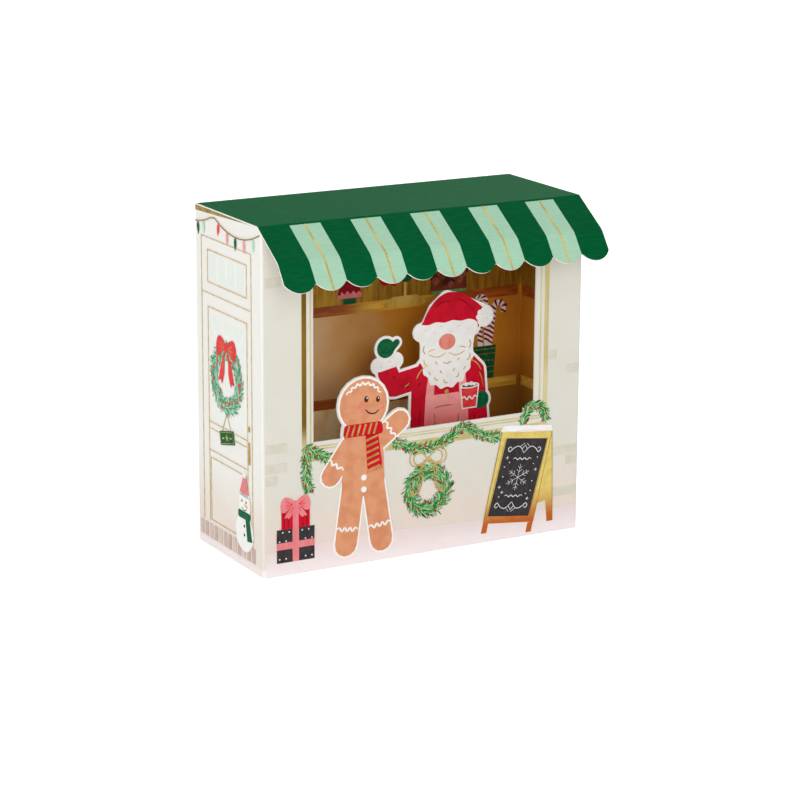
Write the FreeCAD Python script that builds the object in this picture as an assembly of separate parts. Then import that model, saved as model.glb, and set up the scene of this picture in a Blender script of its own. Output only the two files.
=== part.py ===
import FreeCAD, Part
import math
import os

# A folded greeting card that stands up as a small shop. Four glued card sheets carry it: a tube of four
# walls with a window, a roof that runs on into a scalloped awning, a lining with shelves, and a cross
# band with a cut-out shopkeeper. Ink and foil are thin films that lie on the sheets.
# Millimetres, +Z up, +Y away from the window, origin under the middle of the bounding box.

Vector = FreeCAD.Vector

# Short runs in a drawn corner and in a drawn bar's round end
corner_runs = 3
end_runs = 6

# Shell of four walls
width = 112.0
depth = 46.0
height = 108.0
card = 0.45
fold_radius = 0.35
glue_tab = 9.0
glue_tab_inset = 1.5
film = 0.1
film_layers = 3

# Roof and awning, as one bent sheet
roof_fold_back = 2.7
slope_run = 13.4
slope_drop = 8.7
valance_run = 5.9
valance_drop = 8.1
roof_flap = 13.0
roof_flap_gap = 0.3
crease_radius = 4.0
scallop_count = 11
scallop_depth = 3.1
notch_radius = 0.7
side_wall_dip = 1.0
stripe_top_gap = 1.0
stripe_line = 0.5

# Window in the front wall, and its printed frame
window_side = 17.0
window_sill = 40.7
window_head = 10.0
frame_shift = 0.5
frame_line_gap = 1.3
frame_line = 0.35
frame_band_gap = 2.9
frame_band = 1.5
sill_band_gap = 3.9
sill_band = 2.0
sill_lines = (1.3, 2.1)
cut_border = 0.9

# Garland of swags along the sill
swag_count = 3
swag_end_out = 2.2
swag_rise = 0.6
swag_sag = 6.8
garland_half = 1.9
garland_drop = 15.5
needle = 0.8
needle_pitch = 2.2
corner_sprig = 4.1

# Wreath and bow on the front wall
front_wreath_shift = 0.8
front_wreath_height = 20.3
front_wreath_radius = 8.7
front_wreath_hole = 3.3
front_bow_height = 30.2
front_bow_span = 13.0
bow_line = 0.45

# Sign that stands at the right end of the front wall
sign_right_inset = 10.1
sign_top = 35.4
sign_top_width = 18.4
sign_foot_shift = 6.6
sign_foot_height = 4.4
sign_slant = 1.9
sign_border = 1.7
sign_foot_size = 1.9
sign_leg = 2.2
sign_arch = 6.0
sign_cap = 2.0

# Motifs on the front wall
biscuit_shift = -22.0
biscuit_head_height = 50.4
biscuit_head = 8.2
biscuit_foot_height = 6.8
parcel_in = 4.4
parcel_height = 4.2
parcel_width = 12.8
parcel_box = 10.5
parcel_top_width = 9.6
parcel_top_box = 7.2
ribbon_half = 1.1
front_snow = 7.4
front_snow_swell = 1.7
ground_gap = 0.4

# Door on the left wall
door_back_inset = 4.5
door_width = 34.7
door_top_gap = 9.0
door_jamb = 4.3
door_line = 0.35
transom_drop = 14.2
transom_height = 10.4
transom_inset = 1.5
pane_gap = 1.1
top_rail_drop = 17.7
glass_top_drop = 24.6
glass_bottom = 42.6
rail_top = 38.6
rail_bottom = 31.6
panel_top = 29.6
panel_bottom = 9.0
door_wreath_height = 57.0
door_wreath_radius = 11.7
door_wreath_hole = 5.4
door_bow_rise = 10.0
door_bow_tails = 11.5
door_bow_span = 13.0
plaque_drop = 6.9
plaque_width = 10.0
plaque_depth = 4.3
plaque_tilt = 12.5
handle_length = 6.2
handle_width = 1.0
handle_height = 37.1
keyhole_rise = 7.7
keyhole_length = 1.7
kerb_bottom = 3.1
kerb_brick = 4.6
kerb_brick_width = 2.2
kerb_pitch = 3.3
snowman_from_front = 12.5
snowman_base = 5.2
snowman_low = 6.2
snowman_high = 4.3
snowman_grid = snowman_low / 6.2

# String of lights along the top of the left wall
string_top_gap = 1.45
string_end_drop = 3.4
string_sag = 4.6
string_line = 0.35
bulb_length = 3.4
bulb_width = 2.1
bulb_places = (0.04, 0.13, 0.37, 0.5, 0.63, 0.76, 0.9)
bulb_inks = ("green", "mint", "red", "pink", "green", "pink", "mint")

# Bricks
brick_long = 9.0
brick_high = 2.9
brick_gap = 0.5

# Lining with shelves
lining_card = 0.35
lining_back = 35.2
lining_bottom = 9.0
lamp_top_gap = 4.0
lining_front_gap = 3.2
shelf_low = 39.8
shelf_high = 69.9
shelf_board = 3.3
shelf_end_gap = 0.8
side_shelf_run = 14.0
pot_from_right = 10.0
pot_width = 8.6
pot_height = 11.0
cane_grid = pot_width / 8.6
cane_height = 17.0
cane_hook = 1.9
cane_width = 1.3
lamp_shift = 12.0
lamp_width = 18.0
lamp_height = 3.2
lamp_stem = 0.9
cake_shift = -8.0
cake_width = 9.0
cake_height = 5.6
cake_foot = 1.8
box_from_right = 28.0
box_width = 13.0
box_height = 8.6
box_lid_out = 0.6

# Cross band and shopkeeper
band_back = 16.0
band_bottom = 12.0
band_top = 33.5
band_tab = 10.0
keeper_shift = 16.5
keeper_foot = 31.0
keeper_chin = 47.6
keeper_brim = 66.3
keeper_hat = 78.3
keeper_half = 15.6

# Grids that the motifs are drawn on, so that each keeps its proportions
biscuit_grid = biscuit_head / 8.2
parcel_grid = parcel_width / 12.8
keeper_grid = keeper_half / 15.6
bow_drop = 1.0

# Places worked out from the sizes
wall_top = height - card
left_x = -width / 2
right_x = width / 2
slope_length = math.hypot(slope_run, slope_drop)
valance_length = math.hypot(valance_run, valance_drop)
band_width = width / scallop_count
awning_reach = slope_run + valance_run - roof_fold_back
ink_reach = 2 * film * valance_drop / valance_length
front_y = (awning_reach + ink_reach - depth - film) / 2
back_y = front_y + depth
window_top = wall_top - window_head
door_top = height - door_top_gap
transom_bottom = door_top - transom_drop
glass_top = door_top - glass_top_drop
plaque_height = door_wreath_height - door_wreath_radius - plaque_drop
door_bow_height = door_wreath_height + door_bow_rise
window_width = width - 2 * window_side


def unit(vector):
    return vector * (1.0 / vector.Length)


def flat(point):
    return Vector(point[0], point[1], 0)


def edges_through(points, radii, closed=False):
    """Straight runs through points, with tangent arcs of the given radii at the inner corners."""
    count = len(points)
    pieces = []
    last = None
    first = None
    for index, point in enumerate(points):
        corner = closed or 0 < index < count - 1
        if corner and radii[index] > 0:
            before = points[index - 1]
            after = points[(index + 1) % count]
            into = unit(point - before)
            out = unit(after - point)
            half_turn = into.getAngle(out) / 2
            reach = radii[index] * math.tan(half_turn)
            start = point - into * reach
            end = point + out * reach
            inward = unit(out - into)
            middle = point + inward * (radii[index] / math.cos(half_turn) - radii[index])
            if last is not None:
                pieces.append(Part.LineSegment(last, start).toShape())
            pieces.append(Part.Arc(start, middle, end).toShape())
            first = first or start
            last = end
        else:
            if last is not None:
                pieces.append(Part.LineSegment(last, point).toShape())
            first = first or point
            last = point
    if closed:
        pieces.append(Part.LineSegment(last, first).toShape())
    return pieces


def face(edges):
    return Part.Face(Part.Wire(Part.__sortEdges__(edges)))


def rounded(points, radius):
    """A closed outline's points, each corner drawn as a few short runs along an arc."""
    result = []
    for index, point in enumerate(points):
        before = points[index - 1]
        after = points[(index + 1) % len(points)]
        into = unit(point - before)
        out = unit(after - point)
        half_turn = into.getAngle(out) / 2
        centre = point + unit(out - into) * (radius / math.cos(half_turn))
        start = point - into * (radius * math.tan(half_turn)) - centre
        turn = math.copysign(2 * half_turn, into.x * out.y - into.y * out.x)
        for step in range(corner_runs + 1):
            angle = turn * step / corner_runs
            across = start.x * math.cos(angle) - start.y * math.sin(angle)
            upward = start.x * math.sin(angle) + start.y * math.cos(angle)
            result.append(centre + Vector(across, upward, 0))
    return result


def polygon(points, radius=0.0):
    """A closed outline with every corner rounded to one radius."""
    corners = [flat(p) for p in points]
    if radius:
        corners = rounded(corners, radius)
    return Part.Face(Part.makePolygon(corners + corners[:1]))


def rectangle(u0, v0, u1, v1, radius=0.0):
    return polygon([(u0, v0), (u1, v0), (u1, v1), (u0, v1)], radius)


def disc(u, v, radius, sides=20):
    turns = [2 * math.pi * index / sides for index in range(sides)]
    return polygon([(u + radius * math.cos(turn), v + radius * math.sin(turn)) for turn in turns])


def side_path(points, distance):
    """The path's points moved to its left by a distance, with mitred corners."""
    moved = []
    for index, point in enumerate(points):
        into = unit(point - points[index - 1]) if index else None
        out = unit(points[index + 1] - point) if index < len(points) - 1 else None
        first = Vector(-into.y, into.x, 0) if into else Vector(-out.y, out.x, 0)
        second = Vector(-out.y, out.x, 0) if out else first
        across = unit(first + second)
        moved.append(point + across * (distance / across.dot(first)))
    return moved


def bent_edges(points, low, high, bends, distance):
    """One side of a bent strip whose corners have the same centre on both sides."""
    radii = [0.0] * len(points)
    for index in range(1, len(points) - 1):
        into = points[index] - points[index - 1]
        out = points[index + 1] - points[index]
        left_turn = into.x * out.y - into.y * out.x > 0
        radii[index] = bends[index - 1] + (high - distance if left_turn else distance - low)
    return edges_through(side_path(points, distance), radii)


def bent_strip(points, low, high, bends):
    """A strip between two distances from a path, as the section of a bent sheet or a drawn line."""
    path = [flat(p) for p in points]
    one_side = bent_edges(path, low, high, bends, low)
    other_side = bent_edges(path, low, high, bends, high)
    ends = [side_path(path, low), side_path(path, high)]
    caps = [Part.LineSegment(ends[0][place], ends[1][place]).toShape() for place in (0, -1)]
    return face(one_side + other_side + caps)


def stroke(points, line, bend=0.0):
    return bent_strip(points, -line / 2, line / 2, [bend] * (len(points) - 2))


def capsule(start, end, radius):
    """A bar with round ends."""
    along = unit(flat(end) - flat(start))
    across = Vector(-along.y, along.x, 0)
    points = []
    for middle, sign in ((flat(end), 1), (flat(start), -1)):
        for step in range(end_runs + 1):
            angle = math.pi * step / end_runs
            point = middle + (across * math.cos(angle) + along * math.sin(angle)) * (radius * sign)
            points.append((point.x, point.y))
    return polygon(points)


def star_ring(u, v, outer, inner, teeth):
    """A ring with a toothed edge outside and inside, as a wreath seen from a step away."""
    def toothed(radius, tooth):
        points = []
        for index in range(2 * teeth):
            angle = math.pi * index / teeth
            reach = radius - (tooth if index % 2 else 0.0)
            points.append((u + reach * math.cos(angle), v + reach * math.sin(angle)))
        return polygon(points)
    return toothed(outer, needle).cut(toothed(inner + needle, needle)).Faces[0]


def grown(shape, border):
    return Part.Face(shape.OuterWire.makeOffset2D(border, 2))


def plate(faces, bottom, thickness):
    """Flat faces as one plate between two heights."""
    solids = []
    for shape in faces:
        lifted = shape.copy()
        lifted.translate(Vector(0, 0, bottom))
        solids.append(lifted.extrude(Vector(0, 0, thickness)))
    if len(solids) == 1:
        return solids[0]
    return solids[0].multiFuse(solids[1:]).removeSplitter()


def placed(shape, place):
    origin, along, up = place
    out = along.cross(up)
    matrix = FreeCAD.Matrix(
        along.x, up.x, out.x, origin.x,
        along.y, up.y, out.y, origin.y,
        along.z, up.z, out.z, origin.z,
        0, 0, 0, 1)
    return shape.transformed(matrix)


def printed(faces, place, level=0, less=()):
    """Ink or foil on a sheet: a film that starts where the films under it end."""
    film_plate = plate(faces, level * film, film)
    if less:
        film_plate = film_plate.cut(plate(less, -film, (film_layers + 2) * film))
    return placed(film_plate, place)


def group(shapes):
    return Part.makeCompound([solid for shape in shapes for solid in shape.Solids])


x_axis, y_axis, z_axis = Vector(1, 0, 0), Vector(0, 1, 0), Vector(0, 0, 1)
front_wall = (Vector(left_x, front_y, 0), x_axis, z_axis)
left_wall = (Vector(left_x, back_y, 0), -y_axis, z_axis)
right_wall = (Vector(right_x, front_y, 0), y_axis, z_axis)
back_wall = (Vector(right_x, back_y, 0), -x_axis, z_axis)
lining_face = (Vector(left_x, front_y + lining_back, 0), x_axis, z_axis)
band_face = (Vector(left_x, front_y + band_back, 0), x_axis, z_axis)
section = (Vector(left_x, 0, 0), y_axis, z_axis)
up_slope = unit(Vector(0, slope_run, slope_drop))
up_valance = unit(Vector(0, valance_run, valance_drop))
fold_point = Vector(left_x, front_y + roof_fold_back, height)
slope_face = (fold_point - up_slope * slope_length, x_axis, up_slope)
valance_face = (slope_face[0] - up_valance * valance_length, x_axis, up_valance)


def roof_points():
    """Outer side of the roof sheet, from the glue flap's hem over the roof to the valance's hem."""
    flap_y = back_y - card
    fold_y = front_y + roof_fold_back
    crease = (fold_y - slope_run, height - slope_drop)
    hem = (crease[0] - valance_run, crease[1] - valance_drop)
    return [(flap_y, height - roof_flap), (flap_y, height), (fold_y, height), crease, hem]


def hem_waste():
    """What is cut off below the valance's scalloped hem, in the valance's own plane."""
    radius = (band_width ** 2 / 4 + scallop_depth ** 2) / (2 * scallop_depth)
    notch_v = radius - math.sqrt((radius + notch_radius) ** 2 - band_width ** 2 / 4)
    share = radius / (radius + notch_radius)
    hem = []
    last = Vector(0, scallop_depth, 0)
    for index in range(scallop_count):
        middle = (index + 0.5) * band_width
        notch_u = (index + 1) * band_width
        end = Vector(middle + band_width / 2 * share, radius + (notch_v - radius) * share, 0)
        if index == scallop_count - 1:
            end = Vector(width, scallop_depth, 0)
        hem.append(Part.Arc(last, Vector(middle, 0, 0), end).toShape())
        if index < scallop_count - 1:
            last = Vector(2 * notch_u - end.x, end.y, 0)
            hem.append(Part.Arc(end, Vector(notch_u, notch_v + notch_radius, 0), last).toShape())
    out = 2 * card
    corners = [(width, scallop_depth), (width + out, scallop_depth), (width + out, -scallop_depth),
               (-out, -scallop_depth), (-out, scallop_depth), (0, scallop_depth)]
    points = [flat(p) for p in corners]
    sides = [Part.LineSegment(a, b).toShape() for a, b in zip(points, points[1:])]
    return placed(plate([face(hem + sides)], -2 * card, 4 * card), valance_face)


def roof_awning():
    sheet = bent_strip(roof_points(), 0, card, [fold_radius, fold_radius, crease_radius])
    sheet = placed(sheet.extrude(Vector(0, 0, width)), section).cut(hem_waste())
    notch = card + roof_flap_gap
    for side in (left_x, right_x - notch):
        corner = Vector(side, back_y - 2 * card - fold_radius, 0)
        sheet = sheet.cut(Part.makeBox(notch, depth, height - card, corner))
    return sheet


def awning_film(layer, band_start, band_end):
    """A film on the awning's outer side, from just below the fold to the hem."""
    fold, crease, hem = [flat(p) for p in roof_points()[2:]]
    start = fold + unit(crease - fold) * stripe_top_gap
    path = [(p.x, p.y) for p in (start, crease, hem)]
    bend = crease_radius + card + layer * film
    strip = bent_strip(path, -film * (layer + 1), -film * layer, [bend])
    strip = strip.extrude(Vector(0, 0, band_end - band_start))
    strip.translate(Vector(0, 0, band_start))
    return placed(strip, section).cut(hem_waste())


def above_roof():
    """All that lies above the roof sheet's under side, to trim what stands under it."""
    path = [flat(p) for p in roof_points()[1:]]
    under = bent_edges(path, 0, card, [fold_radius, crease_radius], card)
    ends = side_path(path, card)
    rear = Vector(ends[0].x + depth, ends[0].y, 0)
    above = [ends[-1], Vector(ends[-1].x, 2 * height, 0), Vector(rear.x, 2 * height, 0), rear, ends[0]]
    lid = [Part.LineSegment(a, b).toShape() for a, b in zip(above, above[1:])]
    return placed(face(under + lid).extrude(Vector(0, 0, width)), section)


def side_wall_trim():
    """The side walls' tops fall a little towards the back, so the roof sits on the lining there."""
    fold_y = front_y + roof_fold_back + fold_radius
    rear_y = back_y - card
    dip = polygon([(fold_y, wall_top), (rear_y, wall_top - side_wall_dip), (rear_y, wall_top + card), (fold_y, wall_top + card)])
    return placed(dip.extrude(Vector(0, 0, width)), section)


def swag_path():
    """Middle line of the garland: equal swags that hang between points along the sill."""
    start = window_side - swag_end_out
    span = (width - window_side + swag_end_out - start) / swag_count
    top = window_sill + swag_rise
    steps = 6
    points = []
    for swag in range(swag_count):
        for step in range(steps):
            share = step / steps
            drop = swag_sag * 4 * share * (1 - share)
            points.append((start + span * (swag + share), top - drop))
    points.append((start + span * swag_count, top))
    return points


def garland_shapes():
    """The swags and the end that hangs down, with a toothed edge of needles."""
    points = [flat(p) for p in swag_path()]
    upper = side_path(points, garland_half)
    lower = side_path(points, -garland_half)
    toothed = []
    for line, sign in ((upper, 1), (list(reversed(lower)), -1)):
        for index, point in enumerate(line):
            toothed.append((point.x, point.y))
            if index < len(line) - 1:
                middle = (point + line[index + 1]) * 0.5
                toothed.append((middle.x, middle.y - sign * needle))
    swags = polygon(toothed)
    end_u = window_side - swag_end_out
    count = int(garland_drop / needle_pitch)
    hanging = []
    for side in (-1, 1):
        line = []
        for step in range(count + 1):
            share = step / count
            reach = garland_half * (1 - 0.75 * share ** 3)
            height_here = window_sill + swag_rise - garland_drop * share
            line.append((end_u + side * reach, height_here))
            if step < count:
                line.append((end_u + side * (reach - needle), height_here - needle_pitch / 2))
        hanging += line if side < 0 else list(reversed(line))
    return [swags, polygon(hanging)]


def corner_sprig_shape():
    """Leaves that stand above the sill at the window's right corner."""
    end_u = width - window_side + swag_end_out - frame_shift
    return disc(end_u - 1.0, window_sill + swag_rise - corner_sprig / 2, corner_sprig)


def biscuit_shapes():
    """A gingerbread customer that leans on the sill: head, arms, trunk and legs."""
    neck = biscuit_head_height - biscuit_head
    hip = (neck + biscuit_foot_height) / 2
    arm = 3.2 * biscuit_grid
    leg = 3.8 * biscuit_grid

    def at(across, base, rise=0.0):
        return width / 2 + biscuit_shift + across * biscuit_grid, base + rise * biscuit_grid

    head = at(0, biscuit_head_height)
    return {
        "head": disc(head[0], head[1], biscuit_head),
        "trunk": polygon([at(-6.5, neck, 2), at(6.5, neck, 2), at(7.6, hip, -3), at(-7.6, hip, -3)], arm),
        "low_arm": capsule(at(-4.5, neck, -4), at(-11.2, neck, -13), arm),
        "high_arm": capsule(at(4.5, neck, -4), at(12.6, window_sill, 3.2), arm),
        "back_leg": capsule(at(-3.6, hip), at(-6.0, biscuit_foot_height), leg),
        "front_leg": capsule(at(3.6, hip), at(6.4, biscuit_foot_height), leg),
    }


def scarf_shapes():
    neck = biscuit_head_height - biscuit_head

    def at(across, rise):
        return width / 2 + biscuit_shift + across * biscuit_grid, neck + rise * biscuit_grid

    return [
        polygon([at(-7.0, -1.6), at(7.0, -1.6), at(6.4, 2.4), at(-6.4, 2.4)], biscuit_grid),
        polygon([at(0.6, 0), at(5.0, 0), at(6.6, -11.5), at(1.4, -12.5)], biscuit_grid / 2),
    ]


def parcel_shapes():
    """Two wrapped parcels, one on the other, with ribbons and a bow."""
    u, v = parcel_in, parcel_height
    middle = u + parcel_width / 2
    seam = v + parcel_box
    top = seam + parcel_top_box
    half = parcel_top_width / 2
    grid = parcel_grid
    return {
        "low": [rectangle(u, v, u + parcel_width, seam)],
        "high": [rectangle(middle - half, seam, middle + half, top)],
        "ribbon": [
            rectangle(middle - ribbon_half, v, middle + ribbon_half, seam),
            rectangle(u, v + parcel_box / 2 - ribbon_half, u + parcel_width, v + parcel_box / 2 + ribbon_half),
            polygon([(middle, top), (middle - 4.6 * grid, top + 3.8 * grid), (middle - 4.2 * grid, top - 0.4 * grid)]),
            polygon([(middle, top), (middle + 4.2 * grid, top - 0.4 * grid), (middle + 4.6 * grid, top + 3.8 * grid)]),
            disc(middle, top + 0.3 * grid, 1.2 * grid),
        ],
    }


def sign_corners():
    """The board's corners, drawn in perspective: it leans back to the left."""
    right = width - sign_right_inset
    left = right - sign_top_width
    return [
        (left, sign_top),
        (right, sign_top - sign_slant),
        (right - sign_foot_shift, sign_foot_height),
        (left - sign_foot_shift, sign_foot_height + sign_slant),
    ]


def shrunk(corners, border):
    middle = (sum(c[0] for c in corners) / 4, sum(c[1] for c in corners) / 4)
    moved = []
    for c in corners:
        moved.append((c[0] - math.copysign(border, c[0] - middle[0]), c[1] - math.copysign(border * 1.3, c[1] - middle[1])))
    return moved


def sign_shapes():
    corners = sign_corners()
    top_left, top_right, low_right, low_left = corners
    feet = []
    for corner, shift in ((low_left, 0.0), (low_right, -sign_foot_size)):
        u = corner[0] + shift
        lean = sign_foot_shift * sign_foot_size * 2 / sign_top
        foot = [(u, corner[1]), (u + sign_foot_size, corner[1]), (u + sign_foot_size - lean, corner[1] - 3.2), (u - lean, corner[1] - 3.2)]
        feet.append(polygon(foot))
    rear_low = (top_right[0] + 0.8, sign_foot_height - 0.6)
    arch = sign_foot_height + sign_arch
    lean = sign_foot_shift / (sign_top - sign_slant - sign_foot_height)
    inner = top_right[0] - lean * (top_right[1] - arch)
    rear = polygon([
        top_right, rear_low, (rear_low[0] - sign_leg, rear_low[1]), (rear_low[0] - sign_leg - 0.5, arch + 0.6),
        (inner, arch)])
    cap = [
        (top_left[0] - 0.5, top_left[1]),
        (top_left[0] + 0.6, top_left[1] + sign_cap),
        (top_right[0] - 0.2, top_right[1] + sign_cap),
        (top_right[0] + 0.3, top_right[1]),
    ]
    return {
        "frame": [polygon(corners)] + feet,
        "board": polygon(shrunk(corners, sign_border)),
        "rear": rear,
        "cap": polygon(cap, 0.4),
    }


def board_marks():
    """Chalk on the board: a six-armed snowflake and two flourishes."""
    corners = sign_corners()
    u = sum(c[0] for c in corners) / 4
    v = sum(c[1] for c in corners) / 4
    reach = sign_top_width / 4
    marks = []
    for arm in range(3):
        angle = math.pi * arm / 3 + math.pi / 2
        step = (reach * math.cos(angle), reach * math.sin(angle))
        marks.append(stroke([(u - step[0], v - step[1]), (u + step[0], v + step[1])], 0.5))
    return marks


def wave_top(start, end, level, swell, steps=12):
    """Points of a snow line from right to left."""
    points = []
    for step in range(steps + 1):
        share = 1 - step / steps
        rise = swell * math.sin(math.pi * (0.15 + 1.1 * share)) ** 2
        points.append((start + (end - start) * share, level + rise))
    return points


def snow_bank(wall_width, level, swell):
    side = card + fold_radius
    low = [(side, ground_gap), (wall_width - side, ground_gap)]
    return polygon(low + wave_top(side, wall_width - side, level, swell))


def bow_shapes(u, v, span, tails):
    """Two loops, a knot and two tails."""
    half = span / 2
    knot = span / 9
    shapes = [disc(u, v, knot)]
    for side in (-1, 1):
        shapes.append(polygon([(u, v), (u + side * half, v + half / 2), (u + side * half, v - half / 3)], knot / 3))
        shapes.append(polygon([
            (u, v), (u + side * half * 0.45, v - tails), (u + side * half * 0.75, v - tails * 0.86)]))
    return shapes


def bow_outline(u, v, span, tails, line):
    """A bow drawn as a thin foil line: rings for the loops, bars for the tails, a knot over their ends."""
    loop = span / 4
    shapes = [disc(u, v, 2 * line)]
    for side in (-1, 1):
        middle = u + side * (loop + line / 2)
        ring = disc(middle, v + line, loop).cut(disc(middle, v + line, loop - line))
        shapes.append(ring.Faces[0])
        tail = [(u, v), (u + side * loop * 0.9, v - tails / 2), (u + side * loop * 1.3, v - tails)]
        shapes.append(stroke(tail, line, loop / 4))
    return shapes


def front_bow_shapes():
    u = width / 2 + front_wreath_shift
    return bow_outline(u, front_bow_height, front_bow_span, front_bow_height - front_wreath_height + bow_drop, bow_line)


def frame_lines():
    """Foil frame round the window: thin lines by its edge, a broad band outside them, open at the top."""
    shapes = []
    top = window_top
    for side in (-1, 1):
        edge = width / 2 + side * window_width / 2 + frame_shift
        band_in = edge + side * frame_band_gap
        line_in = edge + side * frame_line_gap
        low_band = window_sill - sill_band_gap - sill_band
        shapes.append(rectangle(*sorted_box(band_in, low_band, band_in + side * frame_band, top)))
        shapes.append(rectangle(*sorted_box(line_in, window_sill - sill_lines[0], line_in + side * frame_line, top)))
    left = window_side + frame_shift - frame_band_gap
    right = width - window_side + frame_shift + frame_band_gap
    band_v = window_sill - sill_band_gap
    shapes.append(rectangle(left, band_v - sill_band, right, band_v))
    for drop in sill_lines:
        shapes.append(rectangle(left + frame_line_gap, window_sill - drop - frame_line, right - frame_line_gap, window_sill - drop))
    return shapes


def sorted_box(u0, v0, u1, v1):
    return min(u0, u1), min(v0, v1), max(u0, u1), max(v0, v1)


def silhouettes_above_sill():
    """What stays of the card in the window: the customer and the corner sprig, with a white border."""
    shapes = [grown(shape, cut_border) for shape in biscuit_shapes().values()]
    shapes.append(grown(scarf_shapes()[0], cut_border))
    shapes.append(grown(corner_sprig_shape(), cut_border))
    return shapes


def tube_outline(inset, radius):
    """Plan of the tube of walls, drawn in from its outer faces."""
    corners = [Vector(left_x + inset, front_y + inset, 0), Vector(right_x - inset, front_y + inset, 0),
               Vector(right_x - inset, back_y - inset, 0), Vector(left_x + inset, back_y - inset, 0)]
    return face(edges_through(corners, [radius] * 4, closed=True))


def card_shell():
    """Tube of four walls with the window cut out and the glue tab inside the back wall."""
    outer = tube_outline(0, fold_radius + card)
    inner = tube_outline(card, fold_radius)
    tube = outer.extrude(Vector(0, 0, height)).cut(inner.extrude(Vector(0, 0, height)))
    tab_start = left_x + card + glue_tab_inset - fold_radius
    tab_low = glue_tab_inset
    tab_high = height - roof_flap - glue_tab_inset
    tab = Part.makeBox(glue_tab, card, tab_high - tab_low, Vector(tab_start, back_y - 2 * card, tab_low))
    hole = plate([rectangle(window_side, window_sill, width - window_side, window_top)], -3 * card, 6 * card)
    hole = hole.cut(plate(silhouettes_above_sill(), -3 * card, 6 * card))
    shell = tube.fuse(tab).cut(placed(hole, front_wall)).cut(above_roof()).cut(side_wall_trim())
    return shell.removeSplitter()


def lining_points():
    """Plan of the lining, along the side that is glued to the walls."""
    rear = front_y + lining_back + lining_card
    front = front_y + lining_front_gap
    return [(left_x + card, front), (left_x + card, rear), (right_x - card, rear), (right_x - card, front)]


def shelf_lining():
    plan = bent_strip(lining_points(), -lining_card, 0, [fold_radius, fold_radius])
    lining = plan.extrude(Vector(0, 0, height - lining_bottom))
    lining.translate(Vector(0, 0, lining_bottom))
    return lining.cut(above_roof())


def lining_limits():
    side = card + lining_card + fold_radius + shelf_end_gap
    return side, width - side


def shelf_boards():
    start, end = lining_limits()
    boards = [rectangle(start, level, end, level + shelf_board) for level in (shelf_low, shelf_high)]
    side_boards = []
    run = side_shelf_run
    side_place = (Vector(right_x - card - lining_card, front_y + lining_back, 0), -y_axis, z_axis)
    for level in (shelf_low, shelf_high):
        side_boards.append(printed([rectangle(shelf_end_gap + fold_radius, level, run, level + shelf_board)], side_place))
    return group([printed(boards, lining_face)] + side_boards)


def cane(u, v, lean, turn):
    """A candy cane: a straight stem and a hook made of short runs."""
    hook = [(u + turn * cane_hook * (1 - math.cos(a)), v + cane_height - cane_hook + cane_hook * math.sin(a))
            for a in [math.pi * step / 4 for step in range(5)]]
    stem = [(u + lean, v)]
    return stroke(stem + hook, cane_width)


def lining_goods():
    """What stands on the printed shelves: a pot of candy canes, a cake, a box and a hanging lamp."""
    low = shelf_low + shelf_board
    high = shelf_high + shelf_board
    pot_left = width - pot_from_right - pot_width
    pot_middle = pot_left + pot_width / 2
    lamp_u = width / 2 + lamp_shift
    lamp_low = high - lamp_height * 0.8
    lamp_top = lamp_low + lamp_height
    lamp = polygon([
        (lamp_u - lamp_width / 2, lamp_low), (lamp_u + lamp_width / 2, lamp_low),
        (lamp_u + lamp_width / 4, lamp_top), (lamp_u - lamp_width / 4, lamp_top)], lamp_height / 5)
    stem = rectangle(lamp_u - lamp_stem / 2, lamp_top - lamp_height / 3, lamp_u + lamp_stem / 2, wall_top - lamp_top_gap)
    pot = polygon([
        (pot_left + pot_width / 10, low), (pot_left + pot_width * 0.9, low),
        (pot_left + pot_width, low + pot_height), (pot_left, low + pot_height)])
    cane_foot = low + pot_height - cane_grid
    canes = [
        cane(pot_middle - 2.2 * cane_grid, cane_foot - 3.0 * cane_grid, cane_grid, -1),
        cane(pot_middle + 0.6 * cane_grid, cane_foot + cane_grid, 0.2 * cane_grid, -1),
        cane(pot_middle + 3.0 * cane_grid, cane_foot - 2.0 * cane_grid, -1.4 * cane_grid, 1),
    ]
    cake_u = width / 2 + cake_shift
    stand = rectangle(cake_u - cake_width / 4, high, cake_u + cake_width / 4, high + cake_foot)
    cake = polygon([
        (cake_u - cake_width / 2, high + cake_foot), (cake_u + cake_width / 2, high + cake_foot),
        (cake_u + cake_width / 3, high + cake_foot + cake_height),
        (cake_u - cake_width / 3, high + cake_foot + cake_height)], cake_height / 7)
    box_left = width - box_from_right - box_width / 2
    box_right = box_left + box_width
    box = rectangle(box_left, high, box_right, high + box_height)
    lid_low = high + box_height * 0.7
    lid = rectangle(box_left - box_lid_out, lid_low, box_right + box_lid_out, high + box_height + box_lid_out)
    return {"lamp": [lamp, stem], "pot": [pot, stand], "canes": canes, "cake": [cake], "box": [box], "lid": [lid]}


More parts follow.
